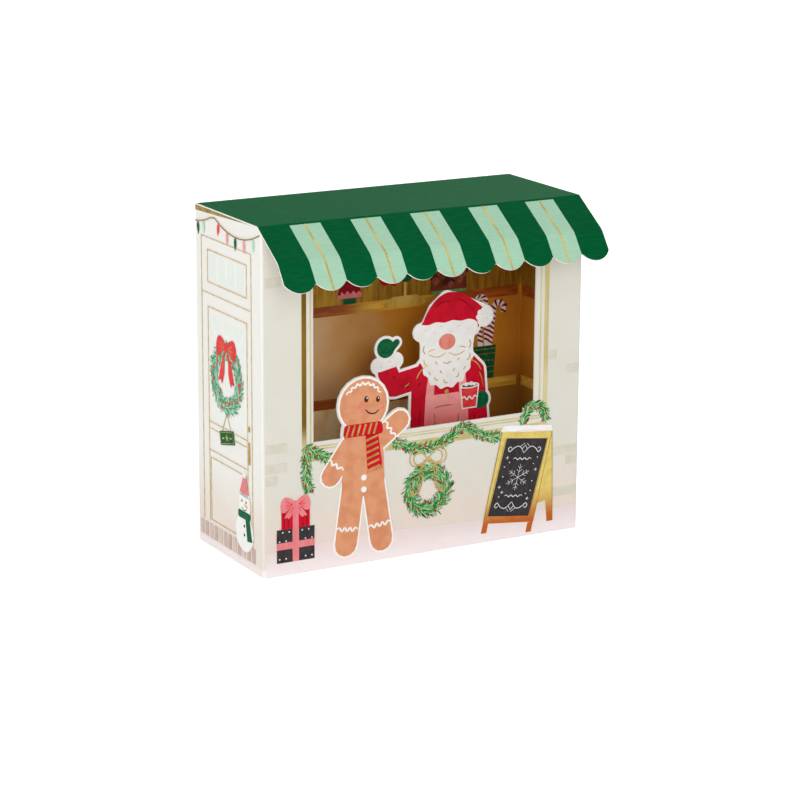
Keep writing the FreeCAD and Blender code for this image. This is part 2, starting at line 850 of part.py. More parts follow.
def keeper_shapes():
    """The shopkeeper: a gnome with a tall hat, a full beard, an apron and a cup."""
    grid = keeper_grid
    foot, chin, brim, hat = keeper_foot, keeper_chin, keeper_brim, keeper_hat
    shoulder = (chin + brim) / 2 + 0.6 * grid

    def at(across, base, rise=0.0):
        return width / 2 + keeper_shift + across * grid, base + rise * grid

    def ball(across, base, rise, radius):
        middle = at(across, base, rise)
        return disc(middle[0], middle[1], radius * grid)

    return {
        "coat": [
            polygon([at(-13.1, foot), at(-12.6, shoulder, -5), at(-9, shoulder), at(9, shoulder),
                     at(13.6, shoulder, -4.5), at(15.6, foot)], 3.0 * grid),
            capsule(at(-9.6, shoulder, -5.5), at(-19.0, shoulder, -7.2), 3.6 * grid),
            capsule(at(-19.0, shoulder, -7.2), at(-21.4, shoulder, -2.3), 3.4 * grid),
        ],
        "cuffs": [capsule(at(-24.4, shoulder, -0.4), at(-18.4, shoulder, 0.8), 1.9 * grid)],
        "mittens": [
            ball(-21.9, shoulder, 5.1, 3.1),
            capsule(at(-20.5, shoulder, 4.2), at(-18.1, shoulder, 6.6), 1.1 * grid),
            ball(12.6, foot, 11.1, 2.9),
        ],
        "apron": [polygon([
            at(-8.4, foot), at(-7.6, chin, -2.2), at(-6.0, shoulder), at(-4.0, shoulder), at(-4.6, chin, -2),
            at(4.6, chin, -2), at(4.0, shoulder), at(6.0, shoulder), at(7.6, chin, -2.2), at(8.4, foot)])],
        "beard": [polygon([
            at(-8.6, brim, -1), at(-8.8, chin, 8), at(-4.8, chin, 1.6), at(0, chin), at(4.8, chin, 1.6),
            at(8.8, chin, 8), at(8.6, brim, -1)], 2.2 * grid)],
        "nose": [ball(0, brim, -4.2, 2.3)],
        "hat": [
            polygon([at(-9.6, brim), at(-5.6, hat, -4.2), at(-0.5, hat), at(5.6, hat, -2.4), at(9.6, brim)], 1.8 * grid),
            capsule(at(2.2, hat, -2.6), at(12.4, hat, -7.4), 1.7 * grid),
        ],
        "trim": [
            capsule(at(-9.2, brim), at(9.2, brim), 2.2 * grid),
            ball(13.4, hat, -9.0, 2.7),
        ],
        "cup": [polygon([at(5.2, foot, 16.1), at(6.0, foot, 9.1), at(10.8, foot, 9.1), at(11.6, foot, 16.1)])],
    }


def band_points():
    """Plan of the cross band, along the side that is glued to the lining: tabs fold towards the window."""
    rear = front_y + band_back + card
    end = width / 2 - card - lining_card
    return [(-end, rear - band_tab), (-end, rear), (end, rear), (end, rear - band_tab)]


def figure_band():
    plan = bent_strip(band_points(), -card, 0, [fold_radius, fold_radius])
    band = plan.extrude(Vector(0, 0, band_top - band_bottom))
    band.translate(Vector(0, 0, band_bottom))
    outlines = [grown(shape, cut_border) for shapes in keeper_shapes().values() for shape in shapes]
    cut_out = placed(plate(outlines, -card, card), band_face)
    return band.fuse(cut_out).removeSplitter()


def awning_stripes():
    """Every second band is printed mint, with a foil line down its middle."""
    mint, gold = [], []
    for index in range(1, scallop_count, 2):
        middle = (index + 0.5) * band_width
        mint.append(awning_film(0, middle - band_width / 2, middle + band_width / 2))
        gold.append(awning_film(1, middle - stripe_line / 2, middle + stripe_line / 2))
    return group(mint), group(gold)


def brick_row(bricks, place, level=0):
    """Bricks given as course height, start and end."""
    shapes = [rectangle(start, low, end, low + brick_high) for low, start, end in bricks]
    return [printed([shape], place, level) for shape in shapes]


def front_bricks():
    """Faint bricks here and there near the wall's ends."""
    right = width - card - fold_radius
    left = card + fold_radius
    course = brick_high + brick_gap
    low = 25.2
    high = low + 9.3 * course
    bricks = [
        (low, right - brick_long, right), (low - course, right - brick_long * 0.45, right),
        (high, right - brick_long * 1.2, right - brick_long * 0.9), (high - 1.5 * course, right - brick_long * 0.45, right),
        (low - 4 * course, right - brick_long, right), (low + 4 * course, left, left + brick_long * 0.8),
        (low + 1.1 * course, left, left + brick_long * 0.45), (low + 2.2 * course, left, left + brick_long * 0.8),
        (low + 19 * course, left, left + brick_long * 0.6), (low + 20 * course, right - brick_long * 0.5, right),
    ]
    return brick_row(bricks, front_wall)


def scattered_bricks(wall_width, place):
    """Bricks on a plain wall: every third place of a bond of staggered courses."""
    course = brick_high + brick_gap
    rows = int((wall_top - front_snow - 14) / course)
    margin = card + fold_radius + 2
    shapes = []
    for row in range(2, rows, 2):
        shift = brick_long / 2 if row % 4 else 0.0
        slot = (row * 5) % 4
        start = margin + shift + slot * (brick_long + brick_gap)
        while start + brick_long < wall_width - margin:
            shapes.append((front_snow + 4 + row * course, start, start + brick_long))
            start += 4 * (brick_long + brick_gap)
    return brick_row(shapes, place)


def door_edges():
    return door_back_inset, door_back_inset + door_width


def door_panels():
    """Door leaf fields: four small panes over the door, the tall glass, and the low panel."""
    back, front = door_edges()
    start = back + door_jamb
    end = front - door_jamb + 1.2
    panes = []
    pane_start = start + transom_inset
    pane_end = end - transom_inset
    pane = (pane_end - pane_start - 3 * pane_gap) / 4
    for index in range(4):
        u = pane_start + index * (pane + pane_gap)
        panes.append(rectangle(u, transom_bottom + transom_inset, u + pane, transom_bottom + transom_height - transom_inset))
    glass = rectangle(start + transom_inset, glass_bottom, end - transom_inset, glass_top)
    return panes, glass, (start, end)


def outline_box(u0, v0, u1, v1, line):
    return rectangle(u0, v0, u1, v1).cut(rectangle(u0 + line, v0 + line, u1 - line, v1 - line)).Faces[0]


def door_lines():
    """Foil lines that draw the door's frame, rails and panels."""
    back, front = door_edges()
    panes, glass, (start, end) = door_panels()
    line = door_line
    foot = kerb_bottom + kerb_brick + 0.8
    top_rail = door_top - top_rail_drop
    shapes = [
        rectangle(back, foot, back + line, door_top),
        rectangle(front - line, foot, front, door_top),
        rectangle(back, door_top - line, front, door_top),
        rectangle(back, top_rail, front, top_rail + line),
        outline_box(start, transom_bottom, end, transom_bottom + transom_height, line),
        rectangle(start, foot, start + line, glass_top + 3),
        rectangle(end - line, foot, end, glass_top + 3),
        rectangle(start, glass_top + 3 - line, end, glass_top + 3),
        rectangle(start, rail_top, end, rail_top + line),
        rectangle(start, glass_bottom - 1.5 - line, end, glass_bottom - 1.5),
        rectangle(start, rail_bottom, end, rail_bottom + line),
        outline_box(start + 1, panel_bottom, end - 1, panel_top, line),
    ]
    return shapes


def turned(shape, u, v, degrees):
    turned_shape = shape.copy()
    turned_shape.rotate(Vector(u, v, 0), Vector(0, 0, 1), degrees)
    return turned_shape


def door_nodes():
    back, front = door_edges()
    middle = (back + front) / 2
    panes, glass, (start, end) = door_panels()
    wreath = star_ring(middle, door_wreath_height, door_wreath_radius, door_wreath_hole, 26)
    plaque = turned(
        rectangle(middle - plaque_width / 2, plaque_height - plaque_depth / 2, middle + plaque_width / 2,
                  plaque_height + plaque_depth / 2), middle, plaque_height, plaque_tilt)
    handle_u = end + (front - end) / 2 - 0.6
    handle = capsule((handle_u, handle_height - handle_length / 2), (handle_u, handle_height + handle_length / 2), handle_width / 2)
    keyhole_v = handle_height + keyhole_rise
    keyhole = capsule((handle_u, keyhole_v - keyhole_length / 4), (handle_u, keyhole_v + keyhole_length / 4), handle_width / 2)
    tilt = math.radians(plaque_tilt)
    eye_up = plaque_depth / 2 - door_line
    cord_head = door_wreath_height - door_wreath_radius
    cord = []
    for side in (-1, 1):
        eye_out = side * plaque_width / 3
        eye = (middle + eye_out * math.cos(tilt) - eye_up * math.sin(tilt),
               plaque_height + eye_out * math.sin(tilt) + eye_up * math.cos(tilt))
        cord.append(stroke([eye, (middle, cord_head + 0.8)], 0.3))
    return {
        "door_glass_panes": group([printed([pane], left_wall) for pane in panes + [glass]]),
        "door_foil_lines": printed(door_lines(), left_wall, 1),
        "door_wreath": printed([wreath], left_wall, 2),
        "door_wreath_bow": printed(bow_shapes(middle, door_bow_height, door_bow_span, door_bow_tails), left_wall, 3),
        "door_plaque": printed([plaque], left_wall, 2),
        "door_handle_foil": group([printed([shape], left_wall, 1) for shape in (handle, keyhole)]),
        "door_plaque_cord": group([printed([line], left_wall, 2, [wreath, plaque]) for line in cord]),
    }


def kerb_bricks():
    """A course of upright bricks at the foot of the left wall."""
    count = int((depth - 4) / kerb_pitch)
    shapes = []
    for index in range(count):
        u = 2 + index * kerb_pitch
        shapes.append(printed([rectangle(u, kerb_bottom, u + kerb_brick_width, kerb_bottom + kerb_brick)], left_wall, 1))
    return group(shapes)


def string_height(share):
    """The light string hangs from both upper corners and from a hook a third of the way along."""
    hook = 0.29
    top = wall_top - string_top_gap
    if share < hook:
        along = share / hook
        return top - string_end_drop * (1 - along) - 0.6 * 4 * along * (1 - along)
    along = (share - hook) / (1 - hook)
    return top - string_sag * 4 * along * (1 - along) * 0.8 - 0.5 * along


def light_string():
    edge = card + fold_radius
    run = depth - 2 * edge
    steps = 16
    points = [(edge + run * step / steps, string_height(step / steps)) for step in range(steps + 1)]
    wire = printed([stroke(points, string_line)], left_wall, 3)
    bulbs = {}
    for share, ink in zip(bulb_places, bulb_inks):
        u = edge + run * share
        v = string_height(share) - string_line
        bulb = capsule((u, v - bulb_width / 3), (u, v - bulb_length + bulb_width / 3), bulb_width / 3)
        bulbs.setdefault(ink, []).append(printed([bulb], left_wall, 2))
    return wire, bulbs


def snowman_nodes():
    grid = snowman_grid
    u = depth - snowman_from_front
    low_v = snowman_base + snowman_low
    high_v = low_v + snowman_low + snowman_high * 0.6
    neck = low_v + snowman_low - 0.9 * grid
    brim = high_v + snowman_high * 0.62

    def at(across, base, rise=0.0):
        return u + across * grid, base + rise * grid

    body = [disc(u, low_v, snowman_low), disc(u, high_v, snowman_high)]
    scarf = [
        polygon([at(-4.0, neck, -1), at(4.0, neck, -1), at(4.0, neck, 1.4), at(-4.0, neck, 1.4)], 0.7 * grid),
        polygon([at(0.8, neck), at(3.6, neck), at(5.4, neck, -7.2), at(2.2, neck, -7.6)]),
    ]
    hat = [polygon([at(-3.4, brim), at(3.4, brim), at(1.4, brim, 6.2), at(-0.2, brim, 6.6)], 0.6 * grid)]
    bobble = at(0.6, brim, 6.8)
    trim = [capsule(at(-3.4, brim), at(3.4, brim), 0.9 * grid), disc(bobble[0], bobble[1], 1.2 * grid)]
    return {
        "snowman": printed(body, left_wall, 2),
        "snowman_scarf": printed(scarf, left_wall, 3),
        "snowman_hat": printed(hat, left_wall, 3, trim),
        "snowman_hat_trim": printed(trim, left_wall, 3),
    }


def front_nodes():
    u = width / 2 + front_wreath_shift
    biscuit = list(biscuit_shapes().values())
    scarf = scarf_shapes()
    sign = sign_shapes()
    parcels = parcel_shapes()
    wreath = star_ring(u, front_wreath_height, front_wreath_radius, front_wreath_hole, 20)
    window = rectangle(window_side, window_sill, width - window_side, window_top)
    garland = garland_shapes() + [corner_sprig_shape()]
    sign_area = sign["frame"] + [sign["rear"], sign["cap"]]
    customer = [grown(shape, cut_border) for shape in biscuit] + [grown(scarf[0], cut_border)]
    open_window = window.cut(customer[0].multiFuse(customer[1:])).cut(corner_sprig_shape())
    hole = list(open_window.Faces)
    return {
        "front_snow_bank": printed([snow_bank(width, front_snow, front_snow_swell)], front_wall),
        "front_bricks": group(front_bricks()),
        "window_frame_foil": printed(frame_lines(), front_wall, 0, customer + sign_area[-1:]),
        "window_garland": printed(garland, front_wall, 1, customer + sign_area + hole),
        "front_wreath": printed([wreath], front_wall, 1),
        "front_wreath_bow": printed(front_bow_shapes(), front_wall, 2),
        "gingerbread_customer": printed(biscuit, front_wall, 1, scarf),
        "customer_scarf": printed(scarf, front_wall, 1),
        "sign_frame": printed(sign["frame"], front_wall, 1, [sign["board"]]),
        "sign_rear_leg": printed([sign["rear"]], front_wall, 1, sign["frame"]),
        "sign_board": printed([sign["board"]], front_wall, 1),
        "sign_chalk_marks": printed(board_marks(), front_wall, 2),
        "sign_snow_cap": printed([sign["cap"]], front_wall, 1, sign["frame"]),
        "parcel_dark": printed(parcels["low"], front_wall, 1, parcels["ribbon"]),
        "parcel_red": printed(parcels["high"], front_wall, 1, parcels["ribbon"]),
        "parcel_ribbon": printed(parcels["ribbon"], front_wall, 1),
    }


def keeper_nodes():
    parts = keeper_shapes()
    nodes = {}
    order = ["coat", "apron", "beard", "hat", "trim", "nose", "cuffs", "mittens", "cup"]
    over = {
        "coat": ["apron", "beard", "trim", "hat", "cuffs", "mittens", "cup"],
        "apron": ["beard", "cup", "mittens", "trim"],
        "beard": ["nose", "trim", "hat"],
        "hat": ["trim"],
        "trim": ["nose"],
        "cuffs": ["mittens"],
        "mittens": ["cup"],
    }
    for name in order:
        less = [shape for other in over.get(name, []) for shape in parts[other]]
        nodes["keeper_" + name] = printed(parts[name], band_face, 0, less)
    return nodes


def lining_nodes():
    goods = lining_goods()
    lamp = goods["lamp"]
    nodes = {
        "shelf_boards": shelf_boards(),
        "shelf_lamp": printed(lamp, lining_face, 1),
        "shelf_pot_and_stand": printed(goods["pot"], lining_face, 1),
        "shelf_candy_canes": printed(goods["canes"], lining_face, 1, goods["pot"]),
        "shelf_cake": printed(goods["cake"], lining_face, 1, goods["pot"]),
        "shelf_box": printed(goods["box"], lining_face, 1, goods["lid"]),
        "shelf_box_lid": printed(goods["lid"], lining_face, 1),
    }
    return nodes


def all_nodes():
    nodes = {
        "card_shell": card_shell(),
        "roof_awning": roof_awning(),
        "shelf_lining": shelf_lining(),
        "figure_band": figure_band(),
    }
    nodes["awning_mint_stripes"], nodes["awning_foil_lines"] = awning_stripes()
    nodes.update(front_nodes())
    nodes.update(door_nodes())
    nodes["kerb_bricks"] = kerb_bricks()
    wire, bulbs = light_string()
    nodes["light_string_wire"] = wire
    for ink, shapes in bulbs.items():
        nodes["light_bulbs_" + ink] = group(shapes)
    nodes.update(snowman_nodes())
    nodes["left_snow_bank"] = printed([snow_bank(depth, front_snow - 5.2, 0.6)], left_wall)
    nodes["right_snow_bank"] = printed([snow_bank(depth, front_snow, front_snow_swell)], right_wall)
    nodes["back_snow_bank"] = printed([snow_bank(width, front_snow, front_snow_swell)], back_wall)
    nodes["right_bricks"] = group(scattered_bricks(depth, right_wall))
    nodes["back_bricks"] = group(scattered_bricks(width, back_wall))
    nodes.update(keeper_nodes())
    nodes.update(lining_nodes())
    return nodes


os.makedirs("parts", exist_ok=True)
for name, shape in all_nodes().items():
    shape.exportStep("parts/" + name + ".step")
    print(name, "solids", len(shape.Solids), "volume", round(shape.Volume, 2), "valid", shape.isValid())
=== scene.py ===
import math
import random

import bmesh
import bpy
from mathutils import Matrix, Vector


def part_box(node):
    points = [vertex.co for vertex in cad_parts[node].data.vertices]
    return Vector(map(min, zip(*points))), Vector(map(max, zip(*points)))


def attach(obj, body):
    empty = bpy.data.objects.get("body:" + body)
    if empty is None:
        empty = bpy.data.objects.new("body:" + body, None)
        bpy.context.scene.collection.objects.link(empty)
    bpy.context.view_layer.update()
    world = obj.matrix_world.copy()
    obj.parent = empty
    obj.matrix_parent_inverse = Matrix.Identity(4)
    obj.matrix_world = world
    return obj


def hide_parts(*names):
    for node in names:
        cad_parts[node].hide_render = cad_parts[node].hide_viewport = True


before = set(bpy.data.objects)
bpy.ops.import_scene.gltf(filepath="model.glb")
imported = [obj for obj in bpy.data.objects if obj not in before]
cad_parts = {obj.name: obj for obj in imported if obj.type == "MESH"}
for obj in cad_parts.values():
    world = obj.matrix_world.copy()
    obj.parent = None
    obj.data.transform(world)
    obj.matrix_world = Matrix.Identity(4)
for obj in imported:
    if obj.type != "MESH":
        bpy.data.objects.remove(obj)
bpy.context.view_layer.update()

# Lengths below are millimetres on the card, and MM brings them to the frame's metres
MM = 0.001
SHELL_CARD = 0.45
LINING_CARD = 0.35

# A needle's thickness, and how far each shape of a print rises over the one before
INK = 0.02
LIFT = 0.0015


class Wall:
    """One face of a card sheet: u runs along it, v up it, and a height stands off it."""

    def __init__(self, origin, along):
        self.origin = Vector(origin)
        self.along = Vector(along)
        self.up = Vector((0, 0, 1))
        self.out = self.along.cross(self.up)

    def at(self, u, v, height=0.0):
        return (self.origin + self.along * u + self.up * v + self.out * height) * MM

    def matrix(self):
        turn = Matrix((self.along, self.up, self.out)).transposed().to_4x4()
        return Matrix.Translation(self.origin * MM) @ turn


def corner(node, high):
    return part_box(node)[high] / MM


SHELL_LOW, SHELL_HIGH = corner("card_shell", 0), corner("card_shell", 1)
SHELF_LOW, SHELF_TOP = corner("shelf_boards", 0).z, corner("shelf_boards", 1).z
BETWEEN_SHELVES = 60
front = Wall((SHELL_LOW.x, SHELL_LOW.y, 0), (1, 0, 0))
side = Wall((SHELL_LOW.x, SHELL_HIGH.y, 0), (0, -1, 0))
right = Wall((SHELL_HIGH.x, SHELL_LOW.y, 0), (0, 1, 0))
lining = Wall((SHELL_LOW.x, corner("shelf_lining", 1).y - LINING_CARD, 0), (1, 0, 0))
band = Wall((SHELL_LOW.x, corner("figure_band", 1).y - SHELL_CARD, 0), (1, 0, 0))


def operator(operation, swapped=False):
    """The method behind one of a signal's operators."""

    def apply(signal, other):
        first, second = (other, signal) if swapped else (signal, other)
        return signal.net.math(operation, first, second)

    return apply


class Signal:
    """An output socket. Arithmetic on it adds Math nodes to its tree."""

    def __init__(self, net, socket):
        self.net = net
        self.socket = socket

    def out(self, key):
        return Signal(self.net, self.socket.node.outputs[key])

    __add__ = __radd__ = operator("ADD")
    __mul__ = __rmul__ = operator("MULTIPLY")
    __sub__ = operator("SUBTRACT")
    __rsub__ = operator("SUBTRACT", swapped=True)
    __truediv__ = operator("DIVIDE")
    __gt__ = operator("GREATER_THAN")
    __lt__ = operator("LESS_THAN")


class Net:
    """Builds a node tree: one method makes any node, sets it up and feeds its sockets."""

    def __init__(self, tree):
        self.tree = tree

    def feed(self, socket, value):
        if isinstance(value, Signal):
            self.tree.links.new(value.socket, socket)
        else:
            socket.default_value = value

    def node(self, kind, settings=None, inputs=None):
        made = self.tree.nodes.new(kind)
        for key, value in (settings or {}).items():
            setattr(made, key, value)
        for key, value in (inputs or {}).items():
            self.feed(made.inputs[key], value)
        return Signal(self, made.outputs[0]) if made.outputs else made

    def math(self, operation, first, second=0.0):
        return self.node("ShaderNodeMath", {"operation": operation}, {0: first, 1: second})

    def smooth(self, value, start, end, low=0.0, high=1.0):
        """A soft step from low at start to high at end."""
        ends = {"From Min": start, "From Max": end, "To Min": low, "To Max": high}
        step = {"interpolation_type": "SMOOTHSTEP"}
        return self.node("ShaderNodeMapRange", step, {"Value": value, **ends})


def rgb(red, green, blue):
    """A printed colour from its 8-bit values, as the linear ones that a shader takes."""
    linear = []
    for value in (red / 255, green / 255, blue / 255):
        linear.append(value / 12.92 if value <= 0.04045 else ((value + 0.055) / 1.055) ** 2.4)
    return (*linear, 1.0)


class Finish(Net):
    """A material in the making. x, y and z are the piece's own coordinates in millimetres."""

    def __init__(self, name, roughness=0.6, metallic=0.0, gloss=0.16):
        self.material = bpy.data.materials.new(name)
        self.material.use_nodes = True
        super().__init__(self.material.node_tree)
        self.tree.nodes.clear()
        self.shader = self.tree.nodes.new("ShaderNodeBsdfPrincipled")
        output = self.tree.nodes.new("ShaderNodeOutputMaterial")
        self.tree.links.new(self.shader.outputs[0], output.inputs[0])
        self.feed(self.shader.inputs["Roughness"], roughness)
        self.feed(self.shader.inputs["Metallic"], metallic)
        if not metallic:
            self.feed(self.shader.inputs["Specular IOR Level"], gloss)
        self.place = self.node("ShaderNodeTexCoord").out("Object")
        split = self.node("ShaderNodeSeparateXYZ", None, {0: self.place})
        self.x = split.out("X") / MM
        self.y = split.out("Y") / MM
        self.z = split.out("Z") / MM

    def noise(self, size, detail=3.0, stretch=(1, 1, 1)):
        """Cloudy variation whose patches are about size millimetres across."""
        place = self.place
        if stretch != (1, 1, 1):
            place = self.node("ShaderNodeMapping", None, {"Vector": place, "Scale": stretch})
        sizes = {"Vector": place, "Scale": 1 / (size * MM), "Detail": detail}
        return self.node("ShaderNodeTexNoise", None, sizes)

    def blend(self, share, first, second):
        """Mixes two colours. Each is a signal or three 8-bit values."""
        first, second = (shade if isinstance(shade, Signal) else rgb(*shade) for shade in (first, second))
        return self.node("ShaderNodeMix", {"data_type": "RGBA"}, {0: share, 6: first, 7: second}).out(2)

    def facing(self, axis):
        """How far the surface faces along X, Y or Z."""
        normal = self.node("ShaderNodeNewGeometry").out("Normal")
        return self.node("ShaderNodeSeparateXYZ", None, {0: normal}).out(axis)

    def span(self, value, start, end, edge):
        """A soft mask that is 1 between start and end."""
        return self.smooth(value, start - edge, start) * self.smooth(value, end, end + edge, 1.0, 0.0)

    def colour(self, value):
        self.feed(self.shader.inputs["Base Color"], value)

    def roughness(self, pattern, smoothest, roughest):
        self.feed(self.shader.inputs["Roughness"], self.smooth(pattern, 0.3, 0.7, smoothest, roughest))

    def relief(self, height, depth):
        """Bump of a given depth in millimetres."""
        bump = self.node("ShaderNodeBump", None, {"Strength": 1.0, "Distance": depth * MM, "Height": height})
        self.feed(self.shader.inputs["Normal"], bump)

    def paper(self, smoothest, roughest, size=0.35, detail=2, depth=0.02):
        """Paper fibres, which vary the roughness and stand a little proud."""
        fibres = self.noise(size, detail)
        self.roughness(fibres, smoothest, roughest)
        self.relief(fibres, depth)


def printed_ink(name, main, shade, patch=3.0, amount=0.9, roughness=0.62, brush=(1, 1, 1)):
    """Ink on uncoated card: brushed, cloudy colour over the paper's fibres."""
    made = Finish(name)
    clouds = made.smooth(made.noise(patch, 4, brush), 0.38, 0.66)
    made.colour(made.blend(clouds * amount, main, shade))
    made.paper(roughness - 0.06, roughness + 0.08)
    return made.material


def foil(name, bright, dark, patch=6.0, roughness=0.3):
    """Hot-stamped foil: a metal film that follows the paper's fine unevenness."""
    made = Finish(name, metallic=1.0)
    clouds = made.smooth(made.noise(patch, 3), 0.35, 0.68)
    made.colour(made.blend(clouds, bright, dark))
    made.paper(roughness - 0.05, roughness + 0.12, 0.5, 2, 0.012)
    return made.material


def ivory_card():
    """Printed outside, and plain white inside and on cut edges. The door's side is painted whiter than the
    front: painted light for that wall's brighter lighting.
    """
    made = Finish("ivory_card")
    skin = 0.24
    door_side = made.x < SHELL_LOW.x + skin
    outside = (made.y < SHELL_LOW.y + skin) + (made.y > SHELL_HIGH.y - skin)
    outside = made.smooth(outside + door_side + (made.x > SHELL_HIGH.x - skin), 0.4, 0.6)
    # Painted light: each door-side colour is lighter than the front's, standing for the door wall's brighter
    # lighting
    cream = made.blend(door_side, (228, 225, 214), (247, 246, 240))
    warm = made.blend(door_side, (236, 221, 209), (240, 228, 216))
    cloudy = made.blend(door_side, (221, 218, 205), (241, 240, 231))
    wash = made.blend(made.smooth(made.z + made.noise(14, 2) * 8, 14, 34), warm, cream)
    foot = made.smooth(made.z, 2.0, 3.0, 1.0, 0.0)
    wash = made.blend(foot, wash, (250, 242, 243))
    wash = made.blend(made.smooth(made.noise(9, 3), 0.35, 0.65) * 0.3, wash, cloudy)
    made.colour(made.blend(outside, (250, 249, 246), wash))
    fibres = made.noise(0.4, 3)
    made.roughness(fibres, 0.55, 0.7)
    made.relief(fibres + made.noise(1.3, 2) * 0.6, 0.025)
    return made.material


def green_card():
    """Laid paper, printed green on its upper side only, with painted sheen making the flat roof a little
    lighter.
    """
    made = Finish("green_card", gloss=0.03)
    top = made.facing("Z") > 0.3
    # Painted sheen: the flat roof's greens are lighter, standing for the sky's reflection in it
    roof_sheen = made.facing("Z") > 0.95
    laid = made.noise(0.5, 3, (0.12, 1, 1))
    deep = made.blend(roof_sheen, (0, 86, 46), (0, 90, 46))
    pale = made.blend(roof_sheen, (4, 94, 52), (6, 101, 56))
    green = made.blend(made.smooth(laid, 0.35, 0.7), deep, pale)
    made.colour(made.blend(top, (247, 246, 242), green))
    fibres = made.noise(0.3, 2)
    made.roughness(fibres, 0.6, 0.75)
    made.relief(laid + fibres * 0.5, 0.035)
    return made.material


def brown_card(top_shelf, low_shelf):
    """The lining: brushed gold above the upper shelf, sandy tan to brown below, white behind."""
    made = Finish("brown_card")
    inner = made.y < lining.origin.y + LINING_CARD / 2
    strokes = made.smooth(made.noise(1.2, 4, (1, 1, 0.12)), 0.35, 0.68)
    gilt = made.blend(strokes, (190, 146, 50), (150, 108, 30))
    across = made.smooth(made.x + made.noise(16, 3) * 30, -22, 30)
    tan = made.blend(across, (242, 208, 160), (214, 142, 44))
    shaded = made.smooth(made.z, low_shelf, low_shelf + 16, 0.45, 0.0)
    tan = made.blend(shaded, tan, made.blend(across, (164, 92, 50), (136, 80, 16)))
    patches = made.smooth(made.noise(5, 4, (1, 1, 0.4)), 0.35, 0.7)
    under = made.blend(patches, (255, 234, 184), (236, 182, 120))
    under = made.blend(made.smooth(made.x, 0, 44), under, (168, 116, 44))
    wall = made.blend(made.z > top_shelf, made.blend(made.z > low_shelf, under, tan), gilt)
    made.colour(made.blend(inner, (246, 245, 241), wall))
    made.feed(made.shader.inputs["Metallic"], (made.z > top_shelf) * inner * 0.5)
    made.paper(0.4, 0.55, 0.5, 3)
    return made.material


def snow_ink():
    """A pale drift, pinker at its top edge and nearly white at the foot."""
    made = Finish("snow_ink")
    height = made.smooth(made.z + made.noise(6, 4, (1, 1, 2)) * 3, 1.0, 10.5)
    made.colour(made.blend(height, (250, 240, 240), (238, 222, 220)))
    made.paper(0.58, 0.7)
    return made.material


def tile_tones(name, first, second, pitch):
    """Bricks whose tone changes from one to the next."""
    made = Finish(name)
    along = made.math("FLOOR", (made.x + made.y) / pitch + 0.2)
    tone = made.node("ShaderNodeTexWhiteNoise", {"noise_dimensions": "1D"}, {"W": along})
    wash = made.smooth(made.noise(1.2, 4, (1, 1, 0.5)), 0.35, 0.7)
    made.colour(made.blend(tone * 0.7 + wash * 0.3, first, second))
    made.relief(made.noise(0.35, 2), 0.02)
    return made.material


def faded(name, foot, top, low, high, patch=2.0):
    """Ink that runs from one colour to another over a height, in millimetres above the ground."""
    made = Finish(name)
    clouds = made.noise(patch, 4)
    shade = made.blend(made.smooth(made.z + (clouds - 0.5) * 6, low, high), foot, top)
    made.colour(made.blend(made.smooth(clouds, 0.3, 0.75) * 0.25, shade, foot))
    made.paper(0.5, 0.66)
    return made.material


def window_foil():
    """The frame's foil, with a painted reflection of a darker corner of the room darkening its left upright.
    """
    made = Finish("window_foil", metallic=1.0)
    low = corner("window_frame_foil", 0)
    clouds = made.smooth(made.noise(8, 3, (1, 1, 0.4)), 0.35, 0.68)
    # Painted reflection: the left upright's foil colour is darkened as if it mirrored a darker corner of the
    # room
    dark_reflection = made.span(made.x, low.x - 1, low.x + 2.4, 0.4) * made.smooth(made.z, low.z + 3, low.z + 12)
    light = made.blend(clouds, (232, 220, 172), (214, 196, 130))
    made.colour(made.blend(dark_reflection, light, made.blend(clouds, (152, 120, 44), (120, 92, 26))))
    made.paper(0.32, 0.5, 0.5, 2, 0.012)
    return made.material


def shelf_boards():
    """Brown boards with painted gold highlights: the middle of the upper one, the right of the lower one."""
    made = Finish("shelf_ink", gloss=0.3)
    grain = made.smooth(made.noise(1.4, 4, (0.15, 1, 1)), 0.3, 0.7)
    wood = made.blend(grain, (190, 100, 30), (150, 70, 14))
    gilt = made.blend(grain, (250, 204, 84), (222, 164, 48))
    upper = made.z > BETWEEN_SHELVES
    # Painted highlight: gold stretches standing for bright reflections on the boards
    painted_highlight = upper * made.span(made.x, 3, 17, 14) + (1 - upper) * made.smooth(made.x, 14, 32)
    made.colour(made.blend(painted_highlight, wood, gilt))
    made.roughness(grain, 0.36, 0.5)
    made.relief(grain, 0.02)
    return made.material


def fir_tones(name, tones):
    """The greens of one fir print: dark, middle, light and pale."""
    steps = ("dark", "middle", "light", "pale")
    return [printed_ink(name + "_" + step, *pair, 1.0) for step, pair in zip(steps, tones)]


gold = foil("gold_foil", (226, 196, 112), (196, 162, 74))
dull_gold = foil("gold_line", (214, 184, 104), (186, 150, 66), 3.0, 0.42)
pale_gold = printed_ink("pale_gold_ink", (222, 204, 166), (200, 176, 128), 2.0, roughness=0.45)
